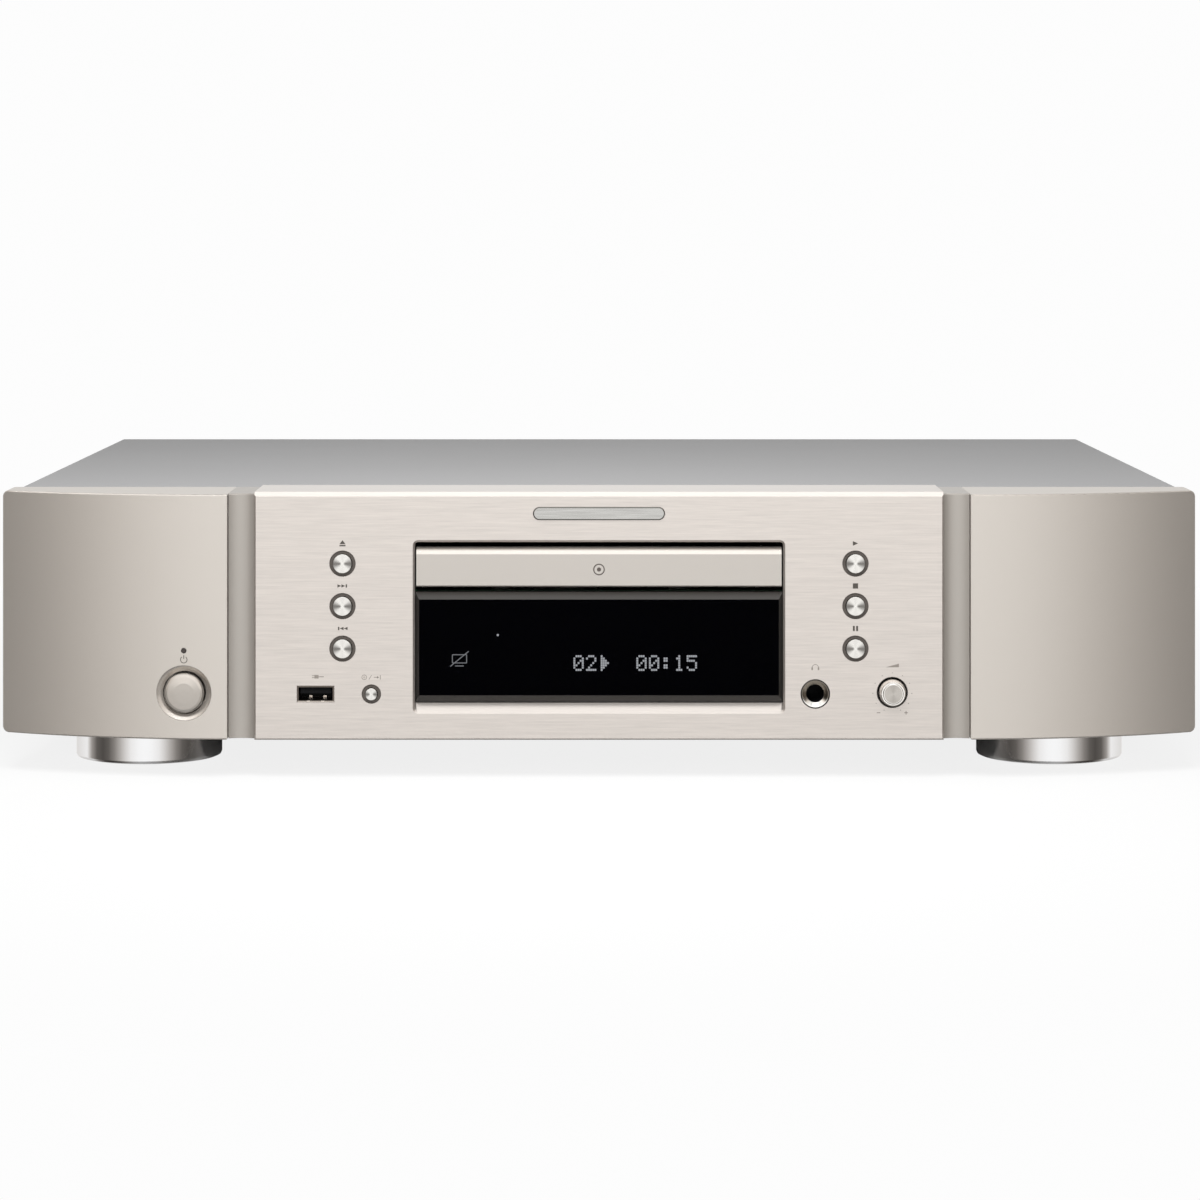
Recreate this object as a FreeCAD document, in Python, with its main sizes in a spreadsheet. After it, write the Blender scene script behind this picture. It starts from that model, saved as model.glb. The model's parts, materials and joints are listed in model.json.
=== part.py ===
import FreeCAD, Part
import math
import os
import re

import Sketcher

# A full-width hi-fi compact disc player: a steel case on four round feet, a bowed front with a flat
# brushed centre plate, a motorised disc tray over a dark display window, and the working parts
# inside. Millimetres, +Z up, front towards -Y. The origin is under the middle of the whole
# player, on the surface that it stands on.

V = FreeCAD.Vector
ROTATE = FreeCAD.Rotation

DIMENSIONS = {
    # case, front to back
    "case_half": 220,
    "front_end_y": -143.5,  # front edge of the panel at its outer ends
    "panel_rear_y": -127.5,
    "cover_rear_y": 158.5,
    "cover_half": 216.6,
    "cover_top": 104,
    "cover_foot": 17,
    "cover_sheet": 1,
    "cover_bend": 1.5,
    "cover_lip": 10,
    "floor_low": 16,
    "floor_sheet": 1.2,
    "floor_half": 215.4,
    "floor_front_y": -125.2,
    "floor_flange": 14,
    "rear_wall_y": 157.4,
    "rear_sheet": 1.2,
    "rear_top": 102.8,
    # centre plate
    "plate_half": 125.4,
    "plate_low": 14.8,
    "plate_top": 105,
    "plate_front_y": -162.5,
    "plate_face": 5,
    "plate_flange": 2.5,
    "plate_top_rear_y": -128.5,
    "plate_low_rear_y": -127.6,
    "plate_top_chamfer": 1.6,
    "plate_side_chamfer": 0.5,
    # window in the centre plate
    "window_half": 67.75,
    "window_low": 24.4,
    "window_top": 87.45,
    "window_corner": 2,
    "window_throat_corner": 0.4,
    "window_chamfer": 0.7,
    "window_sill": 3.6,
    "window_sill_depth": 3,
    # bowed wings and the grooves beside the centre plate
    "wing_low": 15,
    "wing_top": 104.2,
    "wing_nose_x": 135.2,
    "wing_bow": 20,
    "wing_wall": 3,
    "wing_corner": 2.3,
    "wing_edge": 0.5,
    "groove_floor_y": -158.8,
    "groove_arc": 11.2,
    "groove_lip": 2.5,
    "groove_edge": 0.4,
    "groove_gap": 0.12,
    # inner front frame
    "frame_wall_y": -127.4,
    "frame_wall": 2,
    "frame_half": 215.4,
    "frame_low": 18.4,
    "frame_top": 100.8,
    "frame_window_half": 73,
    "frame_window_low": 30.8,
    "frame_window_top": 92,
    "carrier_y": -157.4,
    "carrier_wall": 2,
    # transport buttons
    "key_x": 93.3,
    "key_top_z": 78.95,
    "key_pitch": 15.47,
    "key_radius": 3.45,
    "key_hole": 4.75,
    "key_proud": 1.1,
    "key_depth": 8,
    "key_travel": 1,
    "bezel_gap": 0.12,
    "bezel_inset": 0.6,
    "bezel_depth": 6,
    "small_key_x": -82.8,
    "small_key_radius": 2.2,
    "small_key_hole": 3.5,
    "low_row_z": 31.5,
    # power button and lamp
    "power_x": -151,
    "power_z": 31.85,
    "power_hole": 7.8,
    "power_dish": 10.1,
    "power_dish_y": -161.6,
    "power_dish_depth": 1.1,
    "power_radius": 7.25,
    "power_front_y": -163.3,
    "power_depth": 13,
    "power_travel": 3,
    "lamp_z": 47.3,
    "lamp_radius": 0.95,
    # level knob
    "knob_x": 106.7,
    "knob_z": 32.1,
    "knob_hole": 5.65,
    "knob_radius": 5.05,
    "knob_crown": 4.5,
    "knob_proud": 5,
    "knob_cap_radius": 3.45,
    "knob_stem": 3,
    "knob_stem_end": 9.4,
    # sockets on the front
    "phones_x": 78.7,
    "phones_hole": 5.35,
    "phones_ring": 4.95,
    "phones_bore": 3.2,
    "phones_length": 28,
    "usb_x": -103.1,
    "usb_half_width": 6.8,
    "usb_half_height": 3,
    # display
    "lens_half": 67,
    "lens_low": 28.3,
    "lens_top": 68.4,
    "lens_front_y": -161.6,
    "lens_bevel": 2,
    "lens_side_bevel": 1.5,
    "lens_end_bevel": 2.6,
    "lens_back_y": -156.2,
    "board_y": -149.6,
    "board_sheet": 1.6,
    # name bar above the window
    "badge_half": 24,
    "badge_z": 97.2,
    "badge_height": 4.8,
    "badge_proud": 0.8,
    # tray and its door
    "door_half": 66.5,
    "door_low": 70.4,
    "door_top": 84.9,
    "door_front_y": -161.9,
    "door_back_y": -157.3,
    "door_round": 2.6,
    "tray_half": 63.5,
    "tray_low": 73.5,
    "tray_top": 79,
    "tray_rear_y": 50,
    "disc_y": -82,
    "disc_floor": 75.5,
    "small_disc_floor": 74.4,
    "disc_recess": 60.8,
    "small_disc_recess": 40.8,
    "tray_slot_half": 21,
    "tray_slot_front_y": -104,
    "tray_rack_x": -54.5,
    "tray_rack_low": 69.7,
    # loader
    "loader_half": 69,
    "loader_wall": 3,
    "loader_low": 40,
    "loader_floor": 2.5,
    "loader_rear_y": 60,
    "loader_front_y": -107.5,
    "loader_nose_y": -140,
    "loader_side_y": -128,
    "deck_low": 58,
    "loader_top": 86,
    "loader_leg_x": 60,
    # tray drive
    "drive_y": -118,
    "tray_gear_teeth": 36,
    "pulley_gear_teeth": 12,
    "tray_module": 1,
    "gear_low": 69.8,
    "gear_high": 73.1,
    "pulley_radius": 12,
    "pulley_low": 62,
    "pulley_high": 66,
    "motor_pulley_radius": 4,
    "motor_x": 30,
    "motor_radius": 10,
    "motor_low": 44,
    "belt_half": 0.9,
    # clamp
    "bridge_sheet": 1.5,
    "bridge_half_depth": 18,
    "clamp_hole": 11,
    "clamp_low": 79.8,
    # drive unit, at rest in its lowered place
    "lift": 6,
    "cam_travel": 15,
    "unit_low": 60,
    "unit_sheet": 3,
    "unit_left": -46,
    "unit_right": 33,
    "unit_front_y": -99.5,
    "unit_rear_y": 22,
    "bay_half": 26,
    "bay_front_y": -65,
    "bay_rear_y": 11,
    "post_radius": 2,
    "post_top": 72.6,
    "turntable_top": 72.2,
    "turntable_radius": 15,
    "spindle_motor_radius": 12,
    "hub_radius": 7.3,
    "guide_x": 17,
    "guide_radius": 1.5,
    "guide_z": 61.5,
    "sled_half": 22,
    "lens_y": -57.5,
    "sled_rack_x": -25,
    "sled_gear_y": -31,
    "sled_module": 0.8,
    "sled_teeth": 12,
    "wheel_module": 0.5,
    "wheel_teeth": 26,
    "sled_pinion_teeth": 10,
    "cam_y": -104.6,
    "cam_sheet": 2,
    "pin_radius": 1.5,
    "pin_z": 57,
    # feet
    "foot_x": 171.4,
    "front_foot_y": -99.8,
    "rear_foot_y": 118,
    "foot_radius": 27.6,
    "foot_low": 0.4,
    "foot_round": 1.2,
    "pad_radius": 22,
    "pad_hole": 6,
    "pad_thick": 1.4,
    "screw_radius": 1.5,
    "screw_head": 3.2,
    "screw_head_height": 1.8,
    # rear sockets
    "jack_z": 50,
    "jack_radius": 4.15,
    "jack_collar": 5.6,
    "jack_tip_y": 167.5,
    "jack_collar_y": 158.9,
    "line_right_x": 166,
    "line_left_x": 146,
    "coax_x": 112,
    "optical_x": 92,
    "remote_in_x": 66,
    "remote_out_x": 48,
    "remote_switch_x": 30,
    "inlet_x": -172,
    "inlet_z": 52,
    "main_board_z": 36,
    "power_board_z": 32,
    "transformer_x": -140,
    "transformer_y": 82,
    "transformer_radius": 38,
    "transformer_height": 40,
    # ends of the cuts that go through the front
    "bore_front_y": -170,
    "bore_back_y": -150,
    # common clearances
    "running": 0.05,
    "slip": 0.3,
}
PRESSURE_ANGLE = math.radians(25)
ADDENDUM = 0.8  # tooth height above the pitch line, in modules
DEDENDUM = 1.05
BACKLASH = 0.16  # of one tooth, in modules
FLANK_STEPS = 5

doc = FreeCAD.newDocument("disc_player")
sheet = doc.addObject("Spreadsheet::Sheet", "dims")
for row, (name, number) in enumerate(DIMENSIONS.items(), start=1):
    sheet.set(f"A{row}", name)
    sheet.set(f"B{row}", str(number))
    sheet.setAlias(f"B{row}", name)
doc.recompute()
sub_parts = []


# ---------------------------------------------------------------- helpers


def bound(text):
    """An expression for another object: the sheet's name goes before each of its aliases."""
    return re.sub(r"[a-z_]\w*", lambda m: "dims." + m[0] if m[0] in DIMENSIONS else m[0], text)


def value(text):
    """The number that an expression over the sheet's aliases comes to now."""
    return float(sheet.evalExpression(text))


def keep(part, label):
    """Names a finished sub-part and puts it on the list of those to write."""
    part.Label = label
    sub_parts.append(part)
    return part


def span(centre, half):
    """The two ends of a length that is centred on an expression."""
    return f"{centre} - ({half})", f"{centre} + ({half})"


def put(part, x="0", y="0", z="0"):
    """Binds where a part stands."""
    for axis, text in zip("xyz", (x, y, z)):
        part.setExpression("Placement.Base." + axis, bound(text))
    return part


def block(x, y, z):
    """A box between two expressions along each axis."""
    box = doc.addObject("Part::Box", "block")
    for side, (low, high) in zip(("Length", "Width", "Height"), (x, y, z)):
        box.setExpression(side, bound(f"({high}) - ({low})"))
    return put(box, x[0], y[0], z[0])


ALONG = {"x": ROTATE(V(0, 1, 0), 90), "y": ROTATE(V(1, 0, 0), -90), "z": ROTATE()}


def lay(part, centre, low, axis):
    """Turns a part from +Z to an axis; centre gives its other two coordinates, in X, Y, Z order."""
    part.Placement = FreeCAD.Placement(V(0, 0, 0), ALONG[axis])
    spot = list(centre)
    spot.insert("xyz".index(axis), low)
    return put(part, *spot)


def rod(centre, radius, low, high, axis="z"):
    """A cylinder along an axis, between two expressions."""
    cylinder = doc.addObject("Part::Cylinder", "rod")
    cylinder.setExpression("Radius", bound(radius))
    cylinder.setExpression("Height", bound(f"({high}) - ({low})"))
    return lay(cylinder, centre, low, axis)


def frustum(centre, low_radius, high_radius, low, high, axis="z"):
    """A cone between two expressions along an axis."""
    cone = doc.addObject("Part::Cone", "frustum")
    cone.setExpression("Radius1", bound(low_radius))
    cone.setExpression("Radius2", bound(high_radius))
    cone.setExpression("Height", bound(f"({high}) - ({low})"))
    return lay(cone, centre, low, axis)


def fuse(*shapes):
    joined = doc.addObject("Part::MultiFuse", "fuse")
    joined.Shapes = list(shapes)
    return joined


def group(*shapes):
    """Separate solids that share one node."""
    together = doc.addObject("Part::Compound", "group")
    together.Links = list(shapes)
    return together


def cut(base, *tools):
    result = doc.addObject("Part::Cut", "cut")
    result.Base = base
    result.Tool = tools[0] if len(tools) == 1 else group(*tools)
    return result


def tube(centre, outer, inner, low, high, axis="z"):
    """A rod with a through hole; the hole's tool stands a millimetre past each end."""
    bore = rod(centre, inner, f"({low}) - 1", f"({high}) + 1", axis)
    return cut(rod(centre, outer, low, high, axis), bore)


def soften(part, radius, wanted):
    """Rounds the edges that wanted(edge) picks on a recomputed part."""
    doc.recompute()
    rounded = doc.addObject("Part::Fillet", "soften")
    rounded.Base = part
    size = value(radius)
    rounded.Edges = [(i, size, size) for i, e in enumerate(part.Shape.Edges, 1) if wanted(e)]
    return rounded


def runs(edge, axis):
    """Whether a straight edge lies along an axis."""
    if not isinstance(edge.Curve, Part.Line):
        return False
    return abs(abs(edge.Curve.Direction.dot(axis)) - 1) < 1e-6


def middle(edge):
    return edge.CenterOfMass


# PartDesign pieces: a body, sketches on its own planes, and features bound to the sheet.


def new_body(label):
    return keep(doc.addObject("PartDesign::Body", label), label)


def sketch_on(body, role, offset="0"):
    """A sketch on a body's own origin plane, moved along that plane's normal."""
    sketch = body.newObject("Sketcher::SketchObject", "sketch")
    plane = next(f for f in body.Origin.OriginFeatures if f.Role == role)
    sketch.AttachmentSupport = [(plane, "")]
    sketch.MapMode = "FlatFace"
    sketch.setExpression("AttachmentOffset.Base.z", bound(offset))
    return sketch


def hold(sketch, kind, where, text):
    """Adds a dimension to a sketch and binds it."""
    number = sketch.addConstraint(Sketcher.Constraint(kind, *where, value(text)))
    sketch.setExpression(f"Constraints[{number}]", bound(text))


def hold_point(sketch, geometry, end, x, y):
    hold(sketch, "DistanceX", (-1, 1, geometry, end), x)
    hold(sketch, "DistanceY", (-1, 1, geometry, end), y)


def outline(sketch, *corners):
    """A closed outline of straight sides through corners given as pairs of expressions."""
    points = [V(value(x), value(y), 0) for x, y in corners]
    first = sketch.GeometryCount
    count = len(points)
    for i, point in enumerate(points):
        sketch.addGeometry(Part.LineSegment(point, points[(i + 1) % count]))
    for i in range(count):
        following = first + (i + 1) % count
        sketch.addConstraint(Sketcher.Constraint("Coincident", first + i, 2, following, 1))
    for i, (x, y) in enumerate(corners):
        hold_point(sketch, first + i, 1, x, y)
    return sketch


def circle(sketch, x, y, radius):
    number = sketch.addGeometry(Part.Circle(V(value(x), value(y), 0), V(0, 0, 1), value(radius)))
    hold_point(sketch, number, 3, x, y)
    hold(sketch, "Radius", (number,), radius)
    return sketch


def rounded_box(sketch, x, y, radius):
    """A rectangle between two expressions each way, with rounded corners."""
    r = value(radius)
    low = V(value(x[0]), value(y[0]), 0)
    high = V(value(x[1]), value(y[1]), 0)
    sides = [
        (V(low.x + r, low.y, 0), V(high.x - r, low.y, 0)),
        (V(high.x, low.y + r, 0), V(high.x, high.y - r, 0)),
        (V(high.x - r, high.y, 0), V(low.x + r, high.y, 0)),
        (V(low.x, high.y - r, 0), V(low.x, low.y + r, 0)),
    ]
    centres = [
        V(high.x - r, low.y + r, 0),
        V(high.x - r, high.y - r, 0),
        V(low.x + r, high.y - r, 0),
        V(low.x + r, low.y + r, 0),
    ]
    first = sketch.GeometryCount
    for start, end in sides:
        sketch.addGeometry(Part.LineSegment(start, end))
    for i, centre in enumerate(centres):
        arc = Part.ArcOfCircle(
            Part.Circle(centre, V(0, 0, 1), r), math.radians(90 * i - 90), math.radians(90 * i)
        )
        sketch.addGeometry(arc)
    for i in range(4):
        line, arc = first + i, first + 4 + i
        after = first + (i + 1) % 4
        sketch.addConstraint(Sketcher.Constraint("Tangent", line, 2, arc, 1))
        sketch.addConstraint(Sketcher.Constraint("Tangent", arc, 2, after, 1))
        sketch.addConstraint(Sketcher.Constraint("Horizontal" if i % 2 == 0 else "Vertical", line))
        if i:
            sketch.addConstraint(Sketcher.Constraint("Equal", first + 4, arc))
    hold(sketch, "Radius", (first + 4,), radius)
    hold(sketch, "DistanceX", (-1, 1, first + 3, 1), x[0])
    hold(sketch, "DistanceX", (-1, 1, first + 1, 1), x[1])
    hold(sketch, "DistanceY", (-1, 1, first, 1), y[0])
    hold(sketch, "DistanceY", (-1, 1, first + 2, 1), y[1])
    return sketch


def feature(body, kind, sketch, length, reverse=False, both=False):
    """A Pad or Pocket; reverse turns it round, and both makes it grow equally each way."""
    made = body.newObject("PartDesign::" + kind, kind.lower())
    made.Profile = sketch
    made.Reversed = reverse
    made.SideType = "Symmetric" if both else "One side"
    made.setExpression("Length", bound(length))
    body.Tip = made
    if kind == "Pocket":
        doc.recompute()
        before = made.BaseFeature.Shape.Volume
        if made.Shape.Volume > before - 1e-3:
            raise RuntimeError(f"a pocket in {body.Label} cuts nothing")
    return made


def edge_feature(body, kind, size, wanted):
    """A Fillet or Chamfer on the picked edges of a body's last feature."""
    doc.recompute()
    last = body.Tip
    names = [f"Edge{i}" for i, e in enumerate(last.Shape.Edges, 1) if wanted(e)]
    made = body.newObject("PartDesign::" + kind, kind.lower())
    made.Base = (last, names)
    made.setExpression("Radius" if kind == "Fillet" else "Size", bound(size))
    body.Tip = made
    return made


def turned(label, corners):
    """A body turned about its own Z axis from corners given as (radius, height) expressions."""
    body = new_body(label)
    sketch = outline(sketch_on(body, "XZ_Plane"), *corners)
    spin = body.newObject("PartDesign::Revolution", "revolution")
    spin.Profile = sketch
    spin.ReferenceAxis = (sketch, ["V_Axis"])
    spin.Angle = 360
    body.Tip = spin
    return body


def face_front(body, x, y, z):
    """Stands a turned body with its +Z towards the player's front."""
    body.Placement = FreeCAD.Placement(V(0, 0, 0), ROTATE(V(1, 0, 0), 90))
    return put(body, x, y, z)


# Gear teeth. Flanks are involutes drawn as short chords.


def involute(angle):
    return math.tan(angle) - angle


def gear_face(teeth, module, phase):
    """A spur gear's face about the origin, with one tooth centred at phase, in radians."""
    pitch = module * teeth / 2
    base = pitch * math.cos(PRESSURE_ANGLE)
    root = pitch - DEDENDUM * module
    tip = pitch + ADDENDUM * module
    half = math.pi / (2 * teeth) - BACKLASH * module / (2 * pitch)
    start = max(base, root)
    radii = [start + (tip - start) * i / FLANK_STEPS for i in range(FLANK_STEPS + 1)]
    flank = [
        (r, half + involute(PRESSURE_ANGLE) - involute(math.acos(min(1, base / r)))) for r in radii
    ]
    if root < base:
        flank.insert(0, (root, flank[0][1]))
    points = []
    for tooth in range(teeth):
        centre = phase + 2 * math.pi * tooth / teeth
        rising = [(r, centre - a) for r, a in flank]
        falling = [(r, centre + a) for r, a in reversed(flank)]
        points += [V(r * math.cos(a), r * math.sin(a), 0) for r, a in rising + falling]
    return Part.Face(Part.makePolygon(points + points[:1]))


def rack_face(module, low, high, mesh_y, back, side):
    """A rack's face with its pitch line on X = 0, a gap centred at mesh_y, and teeth towards side."""
    pitch = math.pi * module
    half = pitch / 4 - BACKLASH * module / 2
    lean = math.tan(PRESSURE_ANGLE)
    tip, root = ADDENDUM * module, DEDENDUM * module
    first = math.ceil((low - mesh_y) / pitch - 0.5 + 0.5)
    last = math.floor((high - mesh_y) / pitch - 0.5 - 0.5)
    points = [V(-side * back, low, 0), V(-side * root, low, 0)]
    for number in range(first, last + 1):
        y = mesh_y + (number + 0.5) * pitch
        points.append(V(-side * root, y - half - root * lean, 0))
        points.append(V(side * tip, y - half + tip * lean, 0))
        points.append(V(side * tip, y + half - tip * lean, 0))
        points.append(V(-side * root, y + half + root * lean, 0))
    points += [V(-side * root, high, 0), V(-side * back, high, 0)]
    return Part.Face(Part.makePolygon(points + points[:1]))


def solid_piece(shape, x="0", y="0", z="0"):
    """A Part::Feature from a shape; its Placement is bound after the Shape is set."""
    piece = doc.addObject("Part::Feature", "piece")
    piece.Shape = shape
    return put(piece, x, y, z)


def spur(teeth, module, phase, x, y, low, high):
    """A spur gear's toothed ring as a solid standing between two heights."""
    thickness = value(f"({high}) - ({low})")
    face = gear_face(int(value(teeth)), value(module), phase)
    return solid_piece(face.extrude(V(0, 0, thickness)), x, y, low)


# ---------------------------------------------------------------- case


def build_case():
    half, sheet_in = "cover_half", "cover_half - cover_sheet"
    length = ("panel_rear_y", "cover_rear_y")
    shell = block((f"-{half}", half), length, ("cover_foot", "cover_top"))
    doc.recompute()
    along = V(0, 1, 0)
    shell = soften(shell, "cover_bend", lambda e: runs(e, along) and middle(e).z > 100)
    hollow = block(
        (f"-({sheet_in})", sheet_in),
        ("panel_rear_y - 1", "cover_rear_y + 1"),
        ("cover_foot - 1", "cover_top - cover_sheet"),
    )
    lip = block(
        ("-floor_half", "floor_half"),
        ("cover_rear_y - cover_sheet", "cover_rear_y"),
        ("cover_top - cover_lip", "cover_top - cover_sheet / 2"),
    )
    holes = []
    for x in COVER_REAR_SCREWS:
        holes.append(rod((str(x), REAR_SCREW_Z), HOLE, "150", "165", "y"))
    for y in COVER_SIDE_SCREWS:
        for low, high in (("-230", "-210"), ("210", "230")):
            holes.append(rod((str(y), COVER_SIDE_SCREW_Z), HOLE, low, high, "x"))
    keep(cut(fuse(cut(shell, hollow), lip), *holes), "top_cover")

    floor_top = "floor_low + floor_sheet"
    flange_top = "floor_low + floor_flange"
    back = "rear_wall_y - rear_sheet - 0.2"
    pan = block(("-floor_half", "floor_half"), ("floor_front_y", back), ("floor_low", flange_top))
    inside = block(
        ("floor_sheet - floor_half", "floor_half - floor_sheet"),
        ("floor_front_y + floor_sheet", f"{back} + 1"),
        (floor_top, f"{flange_top} + 1"),
    )
    openings = []
    for group_x in (-60, 114):
        for slot in range(VENT_SLOTS):
            x = group_x + slot * VENT_PITCH
            openings.append(block(span(x, "1.5"), ("60", "100"), ("10", "20")))
    for x, y in foot_places():
        openings.append(rod((x, y), "screw_radius + 0.5 + running", "10", "20"))
    for y in COVER_SIDE_SCREWS:
        openings.append(rod((str(y), COVER_SIDE_SCREW_Z), HOLE, "-230", "230", "x"))
    standoffs = [
        rod((str(x), str(y)), "3.5", f"{floor_top} - 0.5", f"{z} - 0.02")
        for z, places in (("main_board_z", MAIN_STANDOFFS), ("power_board_z", POWER_STANDOFFS))
        for x, y in places
    ]
    keep(fuse(cut(pan, inside, *openings), *standoffs), "bottom_chassis")

    wall = block(
        ("-floor_half", "floor_half"),
        ("rear_wall_y - rear_sheet", "rear_wall_y"),
        (f"{floor_top} + 0.2", "rear_top"),
    )
    wall_cuts = [
        rod((x, "jack_z"), "jack_radius + 0.75", "150", "160", "y")
        for x in ("line_right_x", "line_left_x", "coax_x", "remote_in_x", "remote_out_x")
    ]
    wall_cuts.append(
        block(span("optical_x", "5.2"), ("150", "160"), span("jack_z", "5.2"))
    )
    wall_cuts.append(
        block(
            span("remote_switch_x", "4.2"),
            ("150", "160"),
            span("jack_z", "2.2"),
        )
    )
    wall_cuts.append(
        block(span("inlet_x", "13.8"), ("150", "160"), span("inlet_z", "10.2"))
    )
    for x in COVER_REAR_SCREWS:
        wall_cuts.append(rod((str(x), REAR_SCREW_Z), HOLE, "150", "165", "y"))
    keep(cut(wall, *wall_cuts), "rear_panel")


COVER_REAR_SCREWS = (-190, -64, 64, 190)
COVER_SIDE_SCREWS = (-70, 100)
COVER_SIDE_SCREW_Z = "25.5"
REAR_SCREW_Z = "cover_top - cover_lip / 2 - 1"
HOLE = "screw_radius + running"
VENT_SLOTS, VENT_PITCH = 9, 8
MAIN_STANDOFFS = ((92, -52), (202, -52), (202, 142), (30, 142))
POWER_STANDOFFS = ((-198, -92), (-98, -92), (-198, 28), (-98, 28))


def foot_places():
    return [(f"{sx} * foot_x", y) for y in ("front_foot_y", "rear_foot_y") for sx in (-1, 1)]


# ---------------------------------------------------------------- front


def key_places():
    """Name, X and Z of each transport button."""
    left = ("open_button", "next_button", "previous_button")
    right = ("play_button", "stop_button", "pause_button")
    for sign, names in ((-1, left), (1, right)):
        for row, name in enumerate(names):
            yield name, f"{sign} * key_x", f"key_top_z - {row} * key_pitch"


def build_centre_plate():
    body = new_body("centre_plate")
    face_back = "plate_front_y + plate_face"
    channel = outline(
        sketch_on(body, "YZ_Plane"),
        ("plate_front_y", "plate_low"),
        ("plate_low_rear_y", "plate_low"),
        ("plate_low_rear_y", "plate_low + plate_flange"),
        (face_back, "plate_low + plate_flange"),
        (face_back, "plate_top - plate_flange"),
        ("plate_top_rear_y", "plate_top - plate_flange"),
        ("plate_top_rear_y", "plate_top"),
        ("plate_front_y", "plate_top"),
    )
    feature(body, "Pad", channel, "2 * plate_half", both=True)
    front, top, low = value("plate_front_y"), value("plate_top"), value("plate_low")

    def on_front(edge):
        return abs(middle(edge).y - front) < 0.01

    edge_feature(
        body, "Chamfer", "plate_top_chamfer", lambda e: on_front(e) and abs(middle(e).z - top) < 0.01
    )
    edge_feature(
        body,
        "Chamfer",
        "plate_side_chamfer",
        lambda e: on_front(e) and (runs(e, V(0, 0, 1)) or abs(middle(e).z - low) < 0.01),
    )
    # the window has a chamfer all round, and its sill goes on sloping inwards behind that
    inner_x = ("window_chamfer - window_half", "window_half - window_chamfer")
    inner_top = "window_top - window_chamfer"
    sill_slope = "window_sill / window_sill_depth"
    levels = [
        ("0", ("-window_half", "window_half"), ("window_low", "window_top"), "window_corner"),
        (
            "window_chamfer",
            inner_x,
            (f"window_low + {sill_slope} * window_chamfer", inner_top),
            "window_corner - window_chamfer",
        ),
        (
            "window_sill_depth",
            inner_x,
            ("window_low + window_sill", inner_top),
            "window_throat_corner",
        ),
    ]

    def window_at(level):
        depth, x, z, corner = level
        sketch = sketch_on(body, "XZ_Plane", f"-plate_front_y - {depth}")
        return rounded_box(sketch, x, z, corner)

    for near, far in zip(levels, levels[1:]):
        bevel = body.newObject("PartDesign::SubtractiveLoft", "window_bevel")
        bevel.Profile = window_at(near)
        bevel.Sections = [window_at(far)]
        body.Tip = bevel
    feature(body, "Pocket", window_at(levels[-1]), "plate_face")
    holes = sketch_on(body, "XZ_Plane", "-plate_front_y")
    for _, x, z in key_places():
        circle(holes, x, z, "key_hole")
    circle(holes, "small_key_x", "low_row_z", "small_key_hole")
    circle(holes, "knob_x", "knob_z", "knob_hole")
    circle(holes, "phones_x", "low_row_z", "phones_hole")
    outline(
        holes,
        ("usb_x - usb_half_width", "low_row_z - usb_half_height"),
        ("usb_x + usb_half_width", "low_row_z - usb_half_height"),
        ("usb_x + usb_half_width", "low_row_z + usb_half_height"),
        ("usb_x - usb_half_width", "low_row_z + usb_half_height"),
    )
    feature(body, "Pocket", holes, "plate_face + 1")


BOW_RADIUS = "((case_half - wing_nose_x)^2 + wing_bow^2) / (2 * wing_bow)"


def wing_plan(sketch, side, wall):
    """A wing seen from above, open-armed round an arc that is square to the player at its nose."""
    nose_y = "front_end_y - wing_bow"
    centre_y = f"{nose_y} + {BOW_RADIUS}"
    inner_x, outer_x = f"wing_nose_x + {wall}", f"case_half - {wall}"
    radius = f"{BOW_RADIUS} - {wall}"
    rear = "panel_rear_y" if wall == "0" else "panel_rear_y + 1"
    centre = V(side * value("wing_nose_x"), value(centre_y), 0)
    r = value(radius)

    def on_arc(x_text):
        x = side * value(x_text)
        return V(x, centre.y - math.sqrt(r * r - (x - centre.x) ** 2), 0)

    ends = [on_arc(inner_x), on_arc(outer_x)]
    angles = sorted(math.atan2(p.y - centre.y, p.x - centre.x) for p in ends)
    arc = sketch.addGeometry(Part.ArcOfCircle(Part.Circle(centre, V(0, 0, 1), r), *angles))
    start_x, end_x = (inner_x, outer_x) if side > 0 else (outer_x, inner_x)
    hold_point(sketch, arc, 3, f"{side} * wing_nose_x", centre_y)
    hold(sketch, "Radius", (arc,), radius)
    hold(sketch, "DistanceX", (-1, 1, arc, 1), f"{side} * ({start_x})")
    hold(sketch, "DistanceX", (-1, 1, arc, 2), f"{side} * ({end_x})")
    start, end = sketch.getPoint(arc, 1), sketch.getPoint(arc, 2)
    back = value(rear)
    right = sketch.addGeometry(Part.LineSegment(end, V(end.x, back, 0)))
    rear_line = sketch.addGeometry(Part.LineSegment(V(end.x, back, 0), V(start.x, back, 0)))
    left = sketch.addGeometry(Part.LineSegment(V(start.x, back, 0), start))
    for first, second in ((arc, right), (right, rear_line), (rear_line, left), (left, arc)):
        sketch.addConstraint(Sketcher.Constraint("Coincident", first, 2, second, 1))
    for line, way in ((right, "Vertical"), (left, "Vertical"), (rear_line, "Horizontal")):
        sketch.addConstraint(Sketcher.Constraint(way, line))
    hold(sketch, "DistanceY", (-1, 1, rear_line, 1), rear)
    return sketch


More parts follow.
